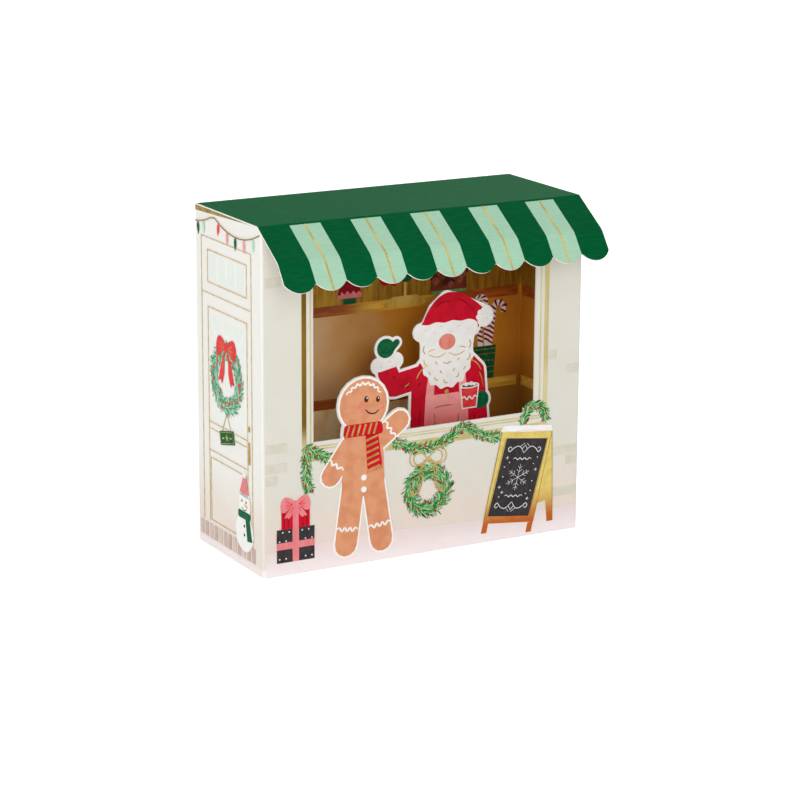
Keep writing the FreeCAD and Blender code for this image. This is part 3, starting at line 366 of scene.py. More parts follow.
# Painted sheen: the lamp is bright gold ink instead of foil, standing for the foil's bright reflection
lamp_gold = printed_ink("lamp_ink", (240, 204, 104), (210, 158, 54), 2.4, brush=(1, 1, 0.2), roughness=0.4)
old_gold = printed_ink("old_gold_ink", (178, 148, 78), (146, 118, 54), 3.0, roughness=0.45)
wire_gold = printed_ink("wire_ink", (166, 136, 66), (132, 102, 44), 1.5, roughness=0.4)
sign_gold = faded("sign_ink", (196, 98, 36), (232, 212, 118), 5, 16)
cord_gold = printed_ink("cord_ink", (206, 186, 140), (184, 160, 110), 2.0)
snow = snow_ink()
white = printed_ink("white_ink", (252, 251, 248), (243, 241, 237), 2.5, 0.6)
chalk = printed_ink("chalk_ink", (244, 243, 240), (204, 202, 200), 0.5, 0.8)
glass = faded("glass_ink", (247, 247, 241), (237, 245, 237), 38, 80, 5.0)
brick = printed_ink("brick_ink", (217, 211, 194), (223, 219, 205), 3.0)
kerb = tile_tones("kerb_ink", (196, 170, 160), (230, 214, 206), 3.3)
front_fir = fir_tones("front_fir", (
    ((8, 84, 34), (0, 58, 24)), ((70, 156, 78), (36, 126, 60)),
    ((122, 188, 118), (88, 158, 90)), ((194, 226, 170), (154, 204, 142))))
door_fir = fir_tones("door_fir", (
    ((44, 142, 100), (20, 112, 78)), ((104, 186, 142), (76, 166, 122)),
    ((156, 214, 176), (126, 196, 154)), ((210, 238, 216), (182, 224, 196))))
mint = printed_ink("mint_ink", (174, 216, 188), (167, 211, 181), 0.8, brush=(0.3, 1, 1))
green = printed_ink("green_ink", (4, 104, 62), (0, 84, 48), 1.5)
red = printed_ink("red_ink", (212, 8, 42), (196, 0, 32), 3.0)
dark_red = printed_ink("red_shade", (160, 4, 28), (142, 0, 22), 2.0)
coral = printed_ink("coral_ink", (240, 70, 72), (228, 54, 58), 1.6)
pink = printed_ink("pink_ink", (238, 140, 144), (230, 124, 132), 1.5, brush=(0.6, 0.6, 0.2))
rose = printed_ink("rose_ink", (238, 148, 130), (228, 124, 112), 1.8)
apron = faded("apron_ink", (226, 96, 102), (255, 172, 168), 31, 45)
bulb_mint = printed_ink("bulb_mint", (196, 232, 208), (180, 222, 196), 1.0)
bulb_red = printed_ink("bulb_red", (250, 84, 84), (240, 62, 66), 1.0)
bulb_pink = printed_ink("bulb_pink", (252, 172, 174), (246, 154, 160), 1.0)
biscuit = printed_ink("biscuit_ink", (226, 158, 118), (216, 142, 102), 3.5)
brown = printed_ink("tray_ink", (140, 70, 40), (112, 50, 26), 4.0, roughness=0.45)
cocoa = printed_ink("cocoa_ink", (98, 44, 32), (70, 28, 20), 1.4)
truffle = printed_ink("truffle_ink", (176, 98, 78), (138, 66, 50), 1.0)
charcoal = printed_ink("board_ink", (50, 46, 48), (64, 60, 62), 0.8, brush=(1, 1, 0.4))

NODE_MATERIALS = {
    ivory_card(): ["card_shell"],
    green_card(): ["roof_awning"],
    brown_card(SHELF_TOP, SHELF_LOW + 2): ["shelf_lining"],
    white: ["figure_band", "sign_snow_cap", "snowman", "snowman_hat_trim", "keeper_trim", "keeper_cuffs",
            "keeper_beard"],
    mint: ["awning_mint_stripes", "light_bulbs_mint"],
    gold: ["awning_foil_lines", "door_handle_foil", "front_wreath_bow"],
    window_foil(): ["window_frame_foil"],
    lamp_gold: ["shelf_lamp"],
    pale_gold: ["door_foil_lines"],
    snow: ["front_snow_bank", "left_snow_bank", "right_snow_bank", "back_snow_bank"],
    brick: ["front_bricks", "right_bricks", "back_bricks"],
    kerb: ["kerb_bricks"],
    front_fir[2]: ["window_garland", "front_wreath"],
    door_fir[2]: ["door_wreath"],
    biscuit: ["gingerbread_customer"],
    red: ["customer_scarf", "parcel_red", "light_bulbs_red", "keeper_coat", "keeper_hat"],
    coral: ["door_wreath_bow"],
    charcoal: ["sign_board", "parcel_dark"],
    chalk: ["sign_chalk_marks"],
    sign_gold: ["sign_frame", "sign_rear_leg"],
    pink: ["parcel_ribbon", "light_bulbs_pink", "snowman_hat", "keeper_cup"],
    apron: ["keeper_apron"],
    glass: ["door_glass_panes"],
    green: ["door_plaque", "light_bulbs_green", "snowman_scarf", "keeper_mittens", "shelf_pot_and_stand"],
    cord_gold: ["door_plaque_cord"],
    wire_gold: ["light_string_wire"],
    rose: ["keeper_nose"],
    shelf_boards(): ["shelf_boards"],
    brown: ["shelf_box"],
    cocoa: ["shelf_box_lid"],
    dark_red: ["shelf_cake", "shelf_candy_canes"],
}
for material, names in NODE_MATERIALS.items():
    for name in names:
        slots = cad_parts[name].data.materials
        slots.clear()
        slots.append(material)


# Outlines and lines are lists of (u, v) points on a wall
def moved(points, u, v=0.0):
    return [(u + a, v + b) for a, b in points]


def turned(points, angle, u=0.0, v=0.0):
    """The points turned about the origin, then moved."""
    across, upward = math.cos(angle), math.sin(angle)
    return [(u + a * across - b * upward, v + a * upward + b * across) for a, b in points]


def oval(u, v, wide, high=None, sides=28):
    high = high or wide
    angles = [2 * math.pi * index / sides for index in range(sides)]
    return [(u + wide * math.cos(angle), v + high * math.sin(angle)) for angle in angles]


def dots(places, radius, sides, u=0.0, v=0.0):
    return [oval(a, b, radius, sides=sides) for a, b in moved(places, u, v)]


def ring(u, v, radius, sides=48):
    return oval(u, v, radius, sides=sides) + [(u + radius, v)]


def bar(left, low, right_end, high):
    return [(left, low), (right_end, low), (right_end, high), (left, high)]


def curved(points, steps=6, closed=False):
    """A smooth line through the points."""
    count = len(points)
    result = []
    for index in range(count if closed else count - 1):
        if closed:
            near = [points[(index + shift) % count] for shift in (-1, 0, 1, 2)]
        else:
            near = [points[min(max(index + shift, 0), count - 1)] for shift in (-1, 0, 1, 2)]
        for step in range(steps):
            t = step / steps
            result.append(tuple(
                0.5 * (2 * near[1][k] + (near[2][k] - near[0][k]) * t
                       + (2 * near[0][k] - 5 * near[1][k] + 4 * near[2][k] - near[3][k]) * t * t
                       + (3 * near[1][k] - near[0][k] - 3 * near[2][k] + near[3][k]) * t ** 3)
                for k in (0, 1)))
    if not closed:
        result.append(tuple(points[-1]))
    return result


def blob(points, u=0.0):
    """A smooth closed outline through the points."""
    return curved(moved(points, u), 4, True)


class Stroke:
    """A drawn line as two sides; taper thins both of its ends."""

    def __init__(self, points, line, taper=0.0):
        self.left, self.right = [], []
        last = len(points) - 1
        for index, point in enumerate(points):
            before = points[max(index - 1, 0)]
            after = points[min(index + 1, last)]
            along = Vector((after[0] - before[0], after[1] - before[1])).normalized()
            half = line / 2 * (1 - taper * (2 * index / last - 1) ** 4)
            self.left.append((point[0] - along.y * half, point[1] + along.x * half))
            self.right.append((point[0] + along.y * half, point[1] - along.x * half))


def lines(rows, line, taper=0.0, u=0.0, v=0.0):
    """A stroke along each row of points."""
    return [Stroke(moved(row, u, v), line, taper) for row in rows]


def curves(rows, line, taper=0.0, u=0.0, v=0.0):
    """A smooth stroke through each row of points."""
    return lines([curved(row) for row in rows], line, taper, u, v)


def pill(start, end, radius, steps=9):
    """A bar with round ends."""
    along = (Vector(end) - Vector(start)).normalized()
    across = Vector((-along.y, along.x))
    points = []
    for middle, reach in ((Vector(end), radius), (Vector(start), -radius)):
        for step in range(steps + 1):
            angle = math.pi * step / steps
            points.append(tuple(middle + (across * math.cos(angle) + along * math.sin(angle)) * reach))
    return points


def leaf(u, v, length, wide, turn):
    """A slim shape with two pointed ends, from (u, v) along its turn."""
    upper = [(share * length, half * wide)
             for share, half in ((0, 0), (0.3, 0.42), (0.55, 0.5), (0.8, 0.3), (1, 0))]
    return turned(upper + [(a, -b) for a, b in upper[-2:0:-1]], turn, u, v)


def scalloped(u, v, radius, bumps, depth, steps=4):
    points = []
    for index in range(bumps * steps):
        angle = 2 * math.pi * index / (bumps * steps)
        reach = radius + depth * abs(math.sin(angle * bumps / 2))
        points.append((u + reach * math.cos(angle), v + reach * math.sin(angle)))
    return points


def put(name, data):
    """Links a new object to the scene."""
    made = bpy.data.objects.new(name, data)
    bpy.context.scene.collection.objects.link(made)
    return made


def keep(name, mesh, material, slot, *replaced):
    """Puts a finished mesh on the card's one body."""
    mesh.materials.clear()
    mesh.materials.append(material)
    piece = put(name, mesh)
    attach(piece, "root")
    if replaced:
        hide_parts(*replaced)


def add_plate(shape, wall, outline, low, high):
    area = sum(a[0] * b[1] - b[0] * a[1] for a, b in zip(outline, outline[1:] + outline[:1]))
    if area < 0:
        outline = outline[::-1]
    under = [shape.verts.new(wall.at(u, v, low)) for u, v in outline]
    over = [shape.verts.new(wall.at(u, v, high)) for u, v in outline]
    shape.faces.new(over)
    shape.faces.new(under[::-1])
    for place in range(len(outline)):
        after = (place + 1) % len(outline)
        shape.faces.new((under[place], under[after], over[after], over[place]))


def add_stroke(shape, wall, stroke, low, high):
    rows = []
    for a, b in zip(stroke.left, stroke.right):
        section = ((a, high), (b, high), (b, low), (a, low))
        rows.append([shape.verts.new(wall.at(*point, height)) for point, height in section])
    for first, second in zip(rows, rows[1:]):
        for place in range(4):
            after = (place + 1) % 4
            shape.faces.new((first[place], first[after], second[after], second[place]))
    shape.faces.new(rows[0][::-1])
    shape.faces.new(rows[-1])


def drawn(name, wall, low, high, shapes, material, slot, *replaced):
    """Flat printed shapes as thin closed plates on a wall, each a hair higher than the one before."""
    made = bmesh.new()
    for index, item in enumerate(shapes):
        add = add_stroke if isinstance(item, Stroke) else add_plate
        add(made, wall, item, low, high + LIFT * index)
    made.normal_update()
    bmesh.ops.triangulate(made, faces=made.faces[:], ngon_method="EAR_CLIP")
    bmesh.ops.recalc_face_normals(made, faces=made.faces[:])
    mesh = bpy.data.meshes.new(name)
    made.to_mesh(mesh)
    made.free()
    keep(name, mesh, material, slot, *replaced)


SPRAY_ANGLES = ("Fan", "Jitter")
SPRAY_SIZES = ("Spacing", "Half Width", "Length", "Width", "Thickness", "Rise")


def spray_tree():
    """Small plates along a path, fanned to both sides: fir needles, or berries when as long as wide."""
    tree = bpy.data.node_groups.new("spray_along_path", "GeometryNodeTree")

    def socket(name, kind, way="INPUT"):
        tree.interface.new_socket(name, in_out=way, socket_type="NodeSocket" + kind)

    socket("Geometry", "Geometry")
    for name in SPRAY_SIZES + SPRAY_ANGLES:
        socket(name, "Float")
    socket("Sides", "Int")
    socket("Seed", "Int")
    socket("Material", "Material")
    socket("Geometry", "Geometry", "OUTPUT")
    net = Net(tree)
    given = net.node("NodeGroupInput")

    def chance(low, high, shift):
        ends = {2: low, 3: high, 8: given.out("Seed") + shift}
        return net.node("FunctionNodeRandomValue", {"data_type": "FLOAT"}, ends).out(1)

    def vector(x, y, z):
        return net.node("ShaderNodeCombineXYZ", None, {"X": x, "Y": y, "Z": z})

    curve = net.node("GeometryNodeMeshToCurve", None, {"Mesh": given.out("Geometry")})
    spaced = {"Curve": curve, "Length": given.out("Spacing")}
    points = net.node("GeometryNodeCurveToPoints", {"mode": "LENGTH"}, spaced)
    tangent = net.node("ShaderNodeSeparateXYZ", None, {0: points.out("Tangent")})
    share = chance(-1.0, 1.0, 0)
    reach = share * given.out("Half Width")
    rise = chance(0.0, 1.0, 1) * given.out("Rise")
    offset = vector(tangent.out("Y") * reach * -1, tangent.out("X") * reach, rise)
    shifted = net.node("GeometryNodeSetPosition", None, {"Geometry": points, "Offset": offset})
    heading = net.math("ARCTAN2", tangent.out("Y"), tangent.out("X"))
    turn = heading + share * given.out("Fan") + chance(-1.0, 1.0, 2) * given.out("Jitter")
    disc = {"Vertices": given.out("Sides"), "Radius": 0.5, "Depth": given.out("Thickness")}
    plate = net.node("GeometryNodeMeshCylinder", {"fill_type": "NGON"}, disc).out("Mesh")
    stretch = vector(given.out("Length"), given.out("Width"), 1.0)
    needle = net.node("GeometryNodeTransform", None, {"Geometry": plate, "Scale": stretch})
    size = chance(0.7, 1.15, 3)
    copies = net.node("GeometryNodeInstanceOnPoints", None, {
        "Points": shifted, "Instance": needle, "Rotation": vector(0.0, 0.0, turn),
        "Scale": vector(size, size, 1.0)})
    solid = net.node("GeometryNodeRealizeInstances", None, {"Geometry": copies})
    painted = {"Geometry": solid, "Material": given.out("Material")}
    net.node("NodeGroupOutput", None, {"Geometry": net.node("GeometryNodeSetMaterial", None, painted)})
    return tree


SPRAY = spray_tree()


def sprayed(name, wall, low, paths, material, slot, *replaced, sides=6, seed=1, **sizes):
    """Runs the spray tree along paths on a wall and keeps its result as a plain mesh."""
    guide = bpy.data.meshes.new(name + "_path")
    verts, edges = [], []
    middle = low + sizes["thickness"] / 2
    for path in paths:
        start = len(verts)
        verts += [(u * MM, v * MM, middle * MM) for u, v in path]
        edges += [(start + index, start + index + 1) for index in range(len(path) - 1)]
    guide.from_pydata(verts, edges, [])
    carrier = put(name + "_path", guide)
    spray = carrier.modifiers.new("spray", "NODES")
    spray.node_group = SPRAY
    values = {"Sides": sides, "Seed": seed, "Material": material}
    for key, value in sizes.items():
        title = key.replace("_", " ").title()
        values[title] = value if title in SPRAY_ANGLES else value * MM
    for item in SPRAY.interface.items_tree:
        if item.in_out == "INPUT" and item.name in values:
            spray[item.identifier] = values[item.name]
    evaluated = carrier.evaluated_get(bpy.context.evaluated_depsgraph_get())
    mesh = bpy.data.meshes.new_from_object(evaluated)
    carrier.modifiers.remove(spray)
    bpy.data.objects.remove(carrier)
    mesh.name = name
    mesh.transform(wall.matrix())
    keep(name, mesh, material, slot, *replaced)


# Each layer of needles: name, height, seed shift, spacing, width and length
NEEDLES = (("dark", 0.02, 20, 0.16, 0.25, 2.4), ("light", 0.035, 10, 0.2, 0.25, 2.1),
           ("pale", 0.045, 15, 0.26, 0.24, 1.9))


def greenery(name, wall, low, paths, half, seed, inks, *replaced, berry=red, berry_size=0.78):
    """A fir garland or wreath: a light mass, needles in three greens and small berries."""
    dark, middle, light, pale = inks
    needle = dict(half_width=half * 0.82, fan=1.0, jitter=0.45, thickness=INK, rise=0.02)
    mass = dict(needle, spacing=0.09, width=0.55, length=1.9, half_width=half * 0.55, rise=0.01)
    sprayed(name + "_mass", wall, low, paths, light, "fir_ink", *replaced, seed=seed, **mass)
    for (tone, height, shift, spacing, width, length), ink in zip(NEEDLES, (dark, middle, pale)):
        sprayed(name + "_" + tone + "_needles", wall, low + height, paths, ink, "fir_ink", *replaced,
                seed=seed + shift, spacing=spacing, width=width, length=length, **needle)
    sprayed(name + "_berries", wall, low + 0.09, paths, berry, "red_ink", sides=10, seed=seed + 30,
            spacing=1.8, half_width=half * 0.8, fan=0.0, jitter=0.0, length=berry_size, width=berry_size,
            thickness=INK, rise=0.005)


# Garland along the sill and down the window's left side
SWAG_TOP = 39.4
SWAG_SAG = 5.6
SWAG_START, SWAG_END = 14.8, 97.2
swag = (SWAG_END - SWAG_START) / 3
quarter = SWAG_TOP - SWAG_SAG * 0.72
garland = []
for index, (first_end, last_end) in enumerate(((0, 23.4), (44.2, 100), (0, 82.5))):
    start = SWAG_START + index * swag
    sagging = curved([
        (start, SWAG_TOP), (start + swag * 0.24, quarter), (start + swag / 2, SWAG_TOP - SWAG_SAG),
        (start + swag * 0.76, quarter), (start + swag, SWAG_TOP)])
    garland.append([point for point in sagging if first_end < point[0] < last_end])
garland.append(curved([(14.9, 39.5), (14.4, 34.0), (14.9, 29.0), (15.3, 25.4)]))
garland.append(curved([(91.2, 37.4), (91.8, 40.0), (93.6, 42.2), (96.2, 42.6), (98.8, 40.8), (99.6, 37.6)]))
greenery("window_fir", front, 0.1, garland, 1.8, 3, front_fir, "window_garland")

# Wreath and line bow on the front wall
WREATH = 56.8
greenery("wall_wreath_fir", front, 0.1, [ring(WREATH, 20.3, 6.3)], 3.2, 7, front_fir, "front_wreath")


def line_bow(u, v, span, tails):
    """A bow of double foil lines: two loops each side, tails that curl at their ends."""
    loop = [(0, 0), (0.22, 0.24), (0.42, 0.22), (0.5, 0.06), (0.42, -0.12), (0.2, -0.12), (0, 0)]
    tail = [(0.02, 0), (0.16, -0.25), (0.17, -0.6), (0.24, -0.85), (0.38, -0.95), (0.4, -0.82)]
    rows = []
    for sign in (-1, 1):
        for grow in (1.0, 0.78):
            rows.append([(u + sign * a * span * grow, v + b * span * grow) for a, b in loop])
        for shift in (0.0, 0.06):
            rows.append([(u + sign * (a + shift) * span, v + b * tails) for a, b in tail])
    return curves(rows, 0.32) + [oval(u, v, 0.6, 0.7)]


drawn("wall_wreath_bow", front, 0.2, 0.24, line_bow(WREATH, 30.2, 13.0, 11.5), gold, "gold_foil",
      "front_wreath_bow")


def full_bow(u, v, span, tails):
    """A ribbon bow as filled shapes: tails, loops and knot."""
    tail = [(0, 0), (0.1, -0.35), (0.12, -0.7), (0.24, -1.0), (0.3, -0.9), (0.4, -0.92), (0.3, -0.55),
            (0.14, -0.2)]
    loop = [(0, 0.02), (0.18, 0.2), (0.4, 0.24), (0.52, 0.04), (0.5, -0.2), (0.36, -0.24), (0.18, -0.1)]
    shapes = []
    for outline, height in ((tail, tails), (loop, span)):
        for sign in (-1, 1):
            shapes.append(blob([(u + sign * a * span, v + b * height) for a, b in outline]))
    shapes.append(oval(u, v + 0.01 * span, span * 0.09, span * 0.1))
    return shapes


def bow_folds(u, v, span, tails, line):
    folds = []
    for sign in (-1, 1):
        for a, b in ((0.34, 0.12), (0.38, -0.02), (0.32, -0.12)):
            folds.append([(u + sign * span * 0.1, v), (u + sign * span * a, v + b * span)])
        folds.append([(u + sign * span * 0.08, v - tails * 0.2), (u + sign * span * 0.2, v - tails * 0.6)])
    return curves(folds, line, 0.9)


# Wreath, bow, plaque and frosted glass of the door wall
DOOR_MIDDLE = 21.85
DOOR_BOW = (DOOR_MIDDLE, 66.6, 13.0, 11.5)
PLAQUE_TURN = math.radians(12.5)
PLAQUE_HEIGHT = 38.4
greenery("door_wreath_fir", side, 0.2, [ring(DOOR_MIDDLE, 57, 8.8)], 3.3, 11, door_fir, "door_wreath",
         berry=coral, berry_size=1.15)
drawn("door_bow", side, 0.3, 0.34, full_bow(*DOOR_BOW), coral, "red_ink", "door_wreath_bow")
drawn("door_bow_folds", side, 0.34, 0.37, bow_folds(*DOOR_BOW, 0.22), dull_gold, "gold_foil")


def on_plaque(points):
    return turned(points, PLAQUE_TURN, DOOR_MIDDLE, PLAQUE_HEIGHT)


edge = on_plaque([(-4.5, -1.7), (4.5, -1.7), (4.5, 1.7), (-4.5, 1.7), (-4.5, -1.7)])
star = []
for index in range(10):
    reach = 0.52 if index % 2 else 1.25
    star.append((reach * math.sin(math.pi * index / 5), reach * math.cos(math.pi * index / 5)))
ornament = [star, leaf(1.7, -0.1, 2.0, 0.6, 0), leaf(-1.7, -0.1, 2.0, 0.6, math.pi)]
gilding = lines(zip(edge, edge[1:]), 0.15) + [on_plaque(shape) for shape in ornament]
drawn("plaque_gilding", side, 0.3, 0.33, gilding, gold, "gold_foil")


def arc_row(start, end, top, count, drop):
    """Hanging arcs side by side, as a frosted valance on the door's glass."""
    step = (end - start) / count
    arc = [(0, 0), (0.2, -0.75), (0.5, -1), (0.8, -0.75), (1, 0)]
    rows = [[(start + (index + a) * step, top + b * drop) for a, b in arc] for index in range(count)]
    return curves(rows, 0.7, 0.6)


frost = arc_row(11.5, 33.5, 73.6, 3, 4.6) + arc_row(13.5, 31.5, 71.0, 2, 5.4)
frost += lines([((u, 43.4), (u, 48.0)) for u in (16.0, 27.0)], 0.5, 0.6)
frost += lines([((11.0, v), (34.0, v)) for v in (45.4, 48.0)], 0.5, 0.6)
drawn("door_glass_frost", side, 0.1, 0.12, frost, white, "white_ink")

# The roof's gilt lining shows as a thin wedge above both side walls
for end, wall, wedge in (("left", side, [(0.4, 105.9), (33.0, 107.3), (0.4, 107.5)]),
                         ("right", right, [(45.6, 105.9), (45.6, 107.5), (13.0, 107.3)])):
    drawn("roof_lining_edge_" + end, wall, -0.05, 0.03, [wedge], old_gold, "gold_foil")

# Pointed bulbs hang from the light string, which sags on both sides of a hook
STRING_START = 0.8
STRING_SPAN = 44.4
STRING_TOP = 106.1
STRING_HOOK = 0.29


def string_height(share):
    if share < STRING_HOOK:
        along = share / STRING_HOOK
        return STRING_TOP - 3.4 * (1 - along) - 2.4 * along * (1 - along)
    along = (share - STRING_HOOK) / (1 - STRING_HOOK)
    return STRING_TOP - 14.72 * along * (1 - along) - 0.5 * along


def bulb(share, tilt):
    """A bulb at a share of the string, tilted by some degrees."""
    half = [(0.3, 0), (0.74, -1.1), (0.64, -2.3)]
    outline = half + [(0, -3.9)] + [(-a, b) for a, b in half[::-1]]
    place = (STRING_START + STRING_SPAN * share, string_height(share) - 0.3)
    return turned(outline, math.radians(tilt), *place)


for tone, ink, bulbs in (("green", green, ((0.04, 6), (0.63, 0))),
                         ("mint", bulb_mint, ((0.13, 4), (0.9, 4))),
                         ("red", bulb_red, ((0.37, -8),)),
                         ("pink", bulb_pink, ((0.5, 4), (0.76, 6)))):
    shapes = [bulb(share, tilt) for share, tilt in bulbs]
    drawn("hanging_bulbs_" + tone, side, 0.2, 0.3, shapes, ink, tone + "_ink", "light_bulbs_" + tone)

# The gingerbread customer: a white key line behind, icing and a face in front
GINGER = 34.0
GINGER_HEAD = 50.4
limbs = [((-4.5, 38.2), (-11.2, 29.2), 3.2), ((4.5, 38.2), (12.6, 43.9), 3.2),
         ((-3.6, 24.5), (-6.0, 6.8), 3.8), ((3.6, 24.5), (6.4, 6.8), 3.8)]
key_line = [oval(GINGER, GINGER_HEAD, 8.75)]
key_line += [pill(*moved([first, second], GINGER), radius + 0.55) for first, second, radius in limbs]
drawn("customer_key_line", front, 0.1, 0.17, key_line, white, "white_ink")


def squiggle(first, second, waves, height):
    """An icing line that waves from one point to another."""
    start, end = Vector(first), Vector(second)
    along = end - start
    across = Vector((-along.y, along.x)).normalized()
    count = waves * 2
    points = []
    for index in range(count + 1):
        sway = 0 if index in (0, count) else (height if index % 2 else -height)
        points.append(tuple(start + along * (index / count) + across * sway))
    return curved(points)


icing = [squiggle((-12.2, 34.4), (-6.9, 30.6), 3, 0.5), squiggle((7.4, 44.2), (11.2, 38.8), 3, 0.5),
         squiggle((-9.2, 12.0), (-1.9, 11.2), 4, 0.55), squiggle((1.9, 11.2), (9.6, 12.0), 4, 0.55)]
crown = []
for index in range(16):
    angle = math.radians(28 + 8 * index)
    reach = 6.3 if index in range(1, 15, 2) else 7.0
    crown.append((reach * math.cos(angle), GINGER_HEAD + reach * math.sin(angle)))
icing.append(curved(crown))
drops = dots([(0.2, 27.4), (0.2, 23.6)], 0.95, 18, GINGER)
drawn("customer_icing", front, 0.2, 0.24, lines(icing, 0.62, 0.5, GINGER) + drops, white, "white_ink")
face = [oval(GINGER + 1.0, 52.0, 0.72, 1.0, 18), oval(GINGER + 5.0, 51.6, 0.66, 0.95, 18)]
face += curves([[(0.6, 48.9), (2.0, 47.6), (4.0, 47.3), (5.4, 48.3)]], 0.45, 0.7, GINGER)
drawn("customer_face", front, 0.2, 0.235, face, cocoa, "board_ink")
cheeks = [oval(GINGER - 1.2, 49.4, 1.3, 0.95, 20), oval(GINGER + 6.3, 49.0, 0.95, 0.8, 20)]
drawn("customer_cheeks", front, 0.2, 0.225, cheeks, rose, "pink_ink")
shine = dots([(1.25, 52.35)], 0.22, 10, GINGER) + dots([(5.2, 51.95)], 0.2, 10, GINGER)
drawn("customer_eye_shine", front, 0.235, 0.25, shine, white, "white_ink")
bars = [((-5.9 + 1.9 * k, 40.9), (-4.8 + 1.9 * k, 44.3)) for k in range(6)]
bars += [((0.9 + 0.14 * k, 38.9 - 1.9 * k), (5.0 + 0.14 * k, 40.2 - 1.9 * k)) for k in range(6)]
drawn("scarf_stripes", front, 0.2, 0.225, lines(bars, 0.62, 0.0, GINGER), dull_gold, "gold_foil")
fringe = [((1.7 + 0.75 * k, 30.0 + 0.16 * k), (1.5 + 0.8 * k, 28.6 + 0.16 * k)) for k in range(7)]
drawn("scarf_fringe", front, 0.2, 0.23, lines(fringe, 0.34, 0.4, GINGER), red, "red_ink")
fold = [(0.3, 40.9), (2.6, 40.5), (5.2, 40.9)]
drawn("scarf_fold", front, 0.225, 0.24, lines([fold], 0.4, 0.8, GINGER), dark_red, "red_ink")

# Parcels
PARCELS = 10.8
PARCEL_BOW = (PARCELS, 22.3, 9.6, 4.4)
ribbons = [bar(9.7, 4.2, 11.9, 14.7), bar(4.4, 8.35, 17.2, 10.55), bar(9.8, 14.7, 11.8, 21.9)]
ribbons += full_bow(*PARCEL_BOW)
drawn("parcel_ribbons", front, 0.1, 0.215, ribbons, pink, "pink_ink", "parcel_ribbon")
drawn("parcel_bow_folds", front, 0.24, 0.26, bow_folds(*PARCEL_BOW, 0.26), coral, "red_ink")
spots = []
for row in range(4):
    for column in range(6):
        u = 5.3 + column * 2.2 + (1.1 if row % 2 else 0)
        v = 5.4 + row * 2.8
        if u < 16.9 and abs(u - PARCELS) > 1.5 and abs(v - 9.45) > 1.3:
            spots.append((u, v))
drawn("parcel_dots", front, 0.2, 0.22, dots(spots, 0.26, 10), chalk, "white_ink")
bars = [((u, 14.9), (u, 21.7)) for u in (6.9, 8.3, 13.2, 14.6)]
drawn("parcel_stripes", front, 0.2, 0.215, lines(bars, 0.42), dark_red, "red_ink")

# The sign: chalk ornament on the board, fine lines on its frame
BOARD = Vector((89.4, 19.9))
BOARD_ACROSS = Vector((15.0, -1.9)).normalized()
BOARD_UP = Vector((6.6, 24.68)).normalized()
FLAKE = 4.3


def on_board(points):
    return [tuple(BOARD + BOARD_ACROSS * a + BOARD_UP * b) for a, b in points]


chalk_lines = []
for arm in range(6):
    turn = math.pi * arm / 3 + math.pi / 2
    chalk_lines.append([(0, 0), (FLAKE * math.cos(turn), FLAKE * math.sin(turn))])
    for share, length in ((0.42, 1.3), (0.7, 0.95)):
        root = (FLAKE * share * math.cos(turn), FLAKE * share * math.sin(turn))
        for bend in (turn - 0.9, turn + 0.9):
            tip = (root[0] + length * math.cos(bend), root[1] + length * math.sin(bend))
            chalk_lines.append([root, tip])
scroll = [(0.9, 0), (2.4, 0.9), (4.0, 0.3), (5.3, -0.9), (6.0, 0.0), (5.4, 0.7), (4.8, 0.2)]
for sign in (-1, 1):
    for flip, level in ((1, 9.3), (-1, -9.3)):
        chalk_lines.append(curved([(sign * a, level + flip * b) for a, b in scroll]))
        chalk_lines.append([(0, level + flip * 1.3), (sign * 1.0, level), (0, level - flip * 1.3)])
        chalk_lines.append([(sign * 0.4, level + flip * 1.9), (sign * 2.0, level + flip * 0.6)])
for level in (6.1, -6.1):
    chalk_lines.append(squiggle((-3.4, level), (3.4, level), 4, 0.3))
marks = lines([on_board(line) for line in chalk_lines], 0.24, 0.5)
sparks = ((-5.6, 6.4), (5.5, 6.6), (-5.9, 3.4), (5.9, 2.6), (-5.6, 0.2), (5.6, -1.2), (-6.0, -3.2),
          (5.9, -4.4), (-5.3, -6.4), (5.4, -7.0), (-4.4, 4.9), (4.6, 4.5), (-4.6, -4.9), (4.4, -5.4))
for index, (a, b) in enumerate(sparks):
    if index % 3 == 0:
        cross = [[(a - 0.5, b), (a + 0.5, b)], [(a, b - 0.5), (a, b + 0.5)]]
        marks += lines([on_board(line) for line in cross], 0.16)
    else:
        marks += dots(on_board([(a, b)]), 0.2, 8)
drawn("board_chalk", front, 0.2, 0.22, marks, chalk, "white_ink", "sign_chalk_marks")
edges = [[(83.5, 35.4), (76.9, 6.3)], [(101.9, 33.5), (95.3, 4.4)], [(101.9, 33.4), (102.6, 4.0)],
         [(84.9, 33.4), (78.3, 8.3)], [(100.4, 31.5), (93.8, 6.4)]]
drawn("sign_edges", front, 0.2, 0.215, lines(edges, 0.2), wire_gold, "sign_ink")
drift = [(83.4, 35.7), (88.0, 35.0), (93.0, 34.9), (98.0, 34.0), (101.9, 33.8)]
drawn("sign_cap_shade", front, 0.2, 0.21, curves([drift], 0.3, 0.8), snow, "snow_ink")

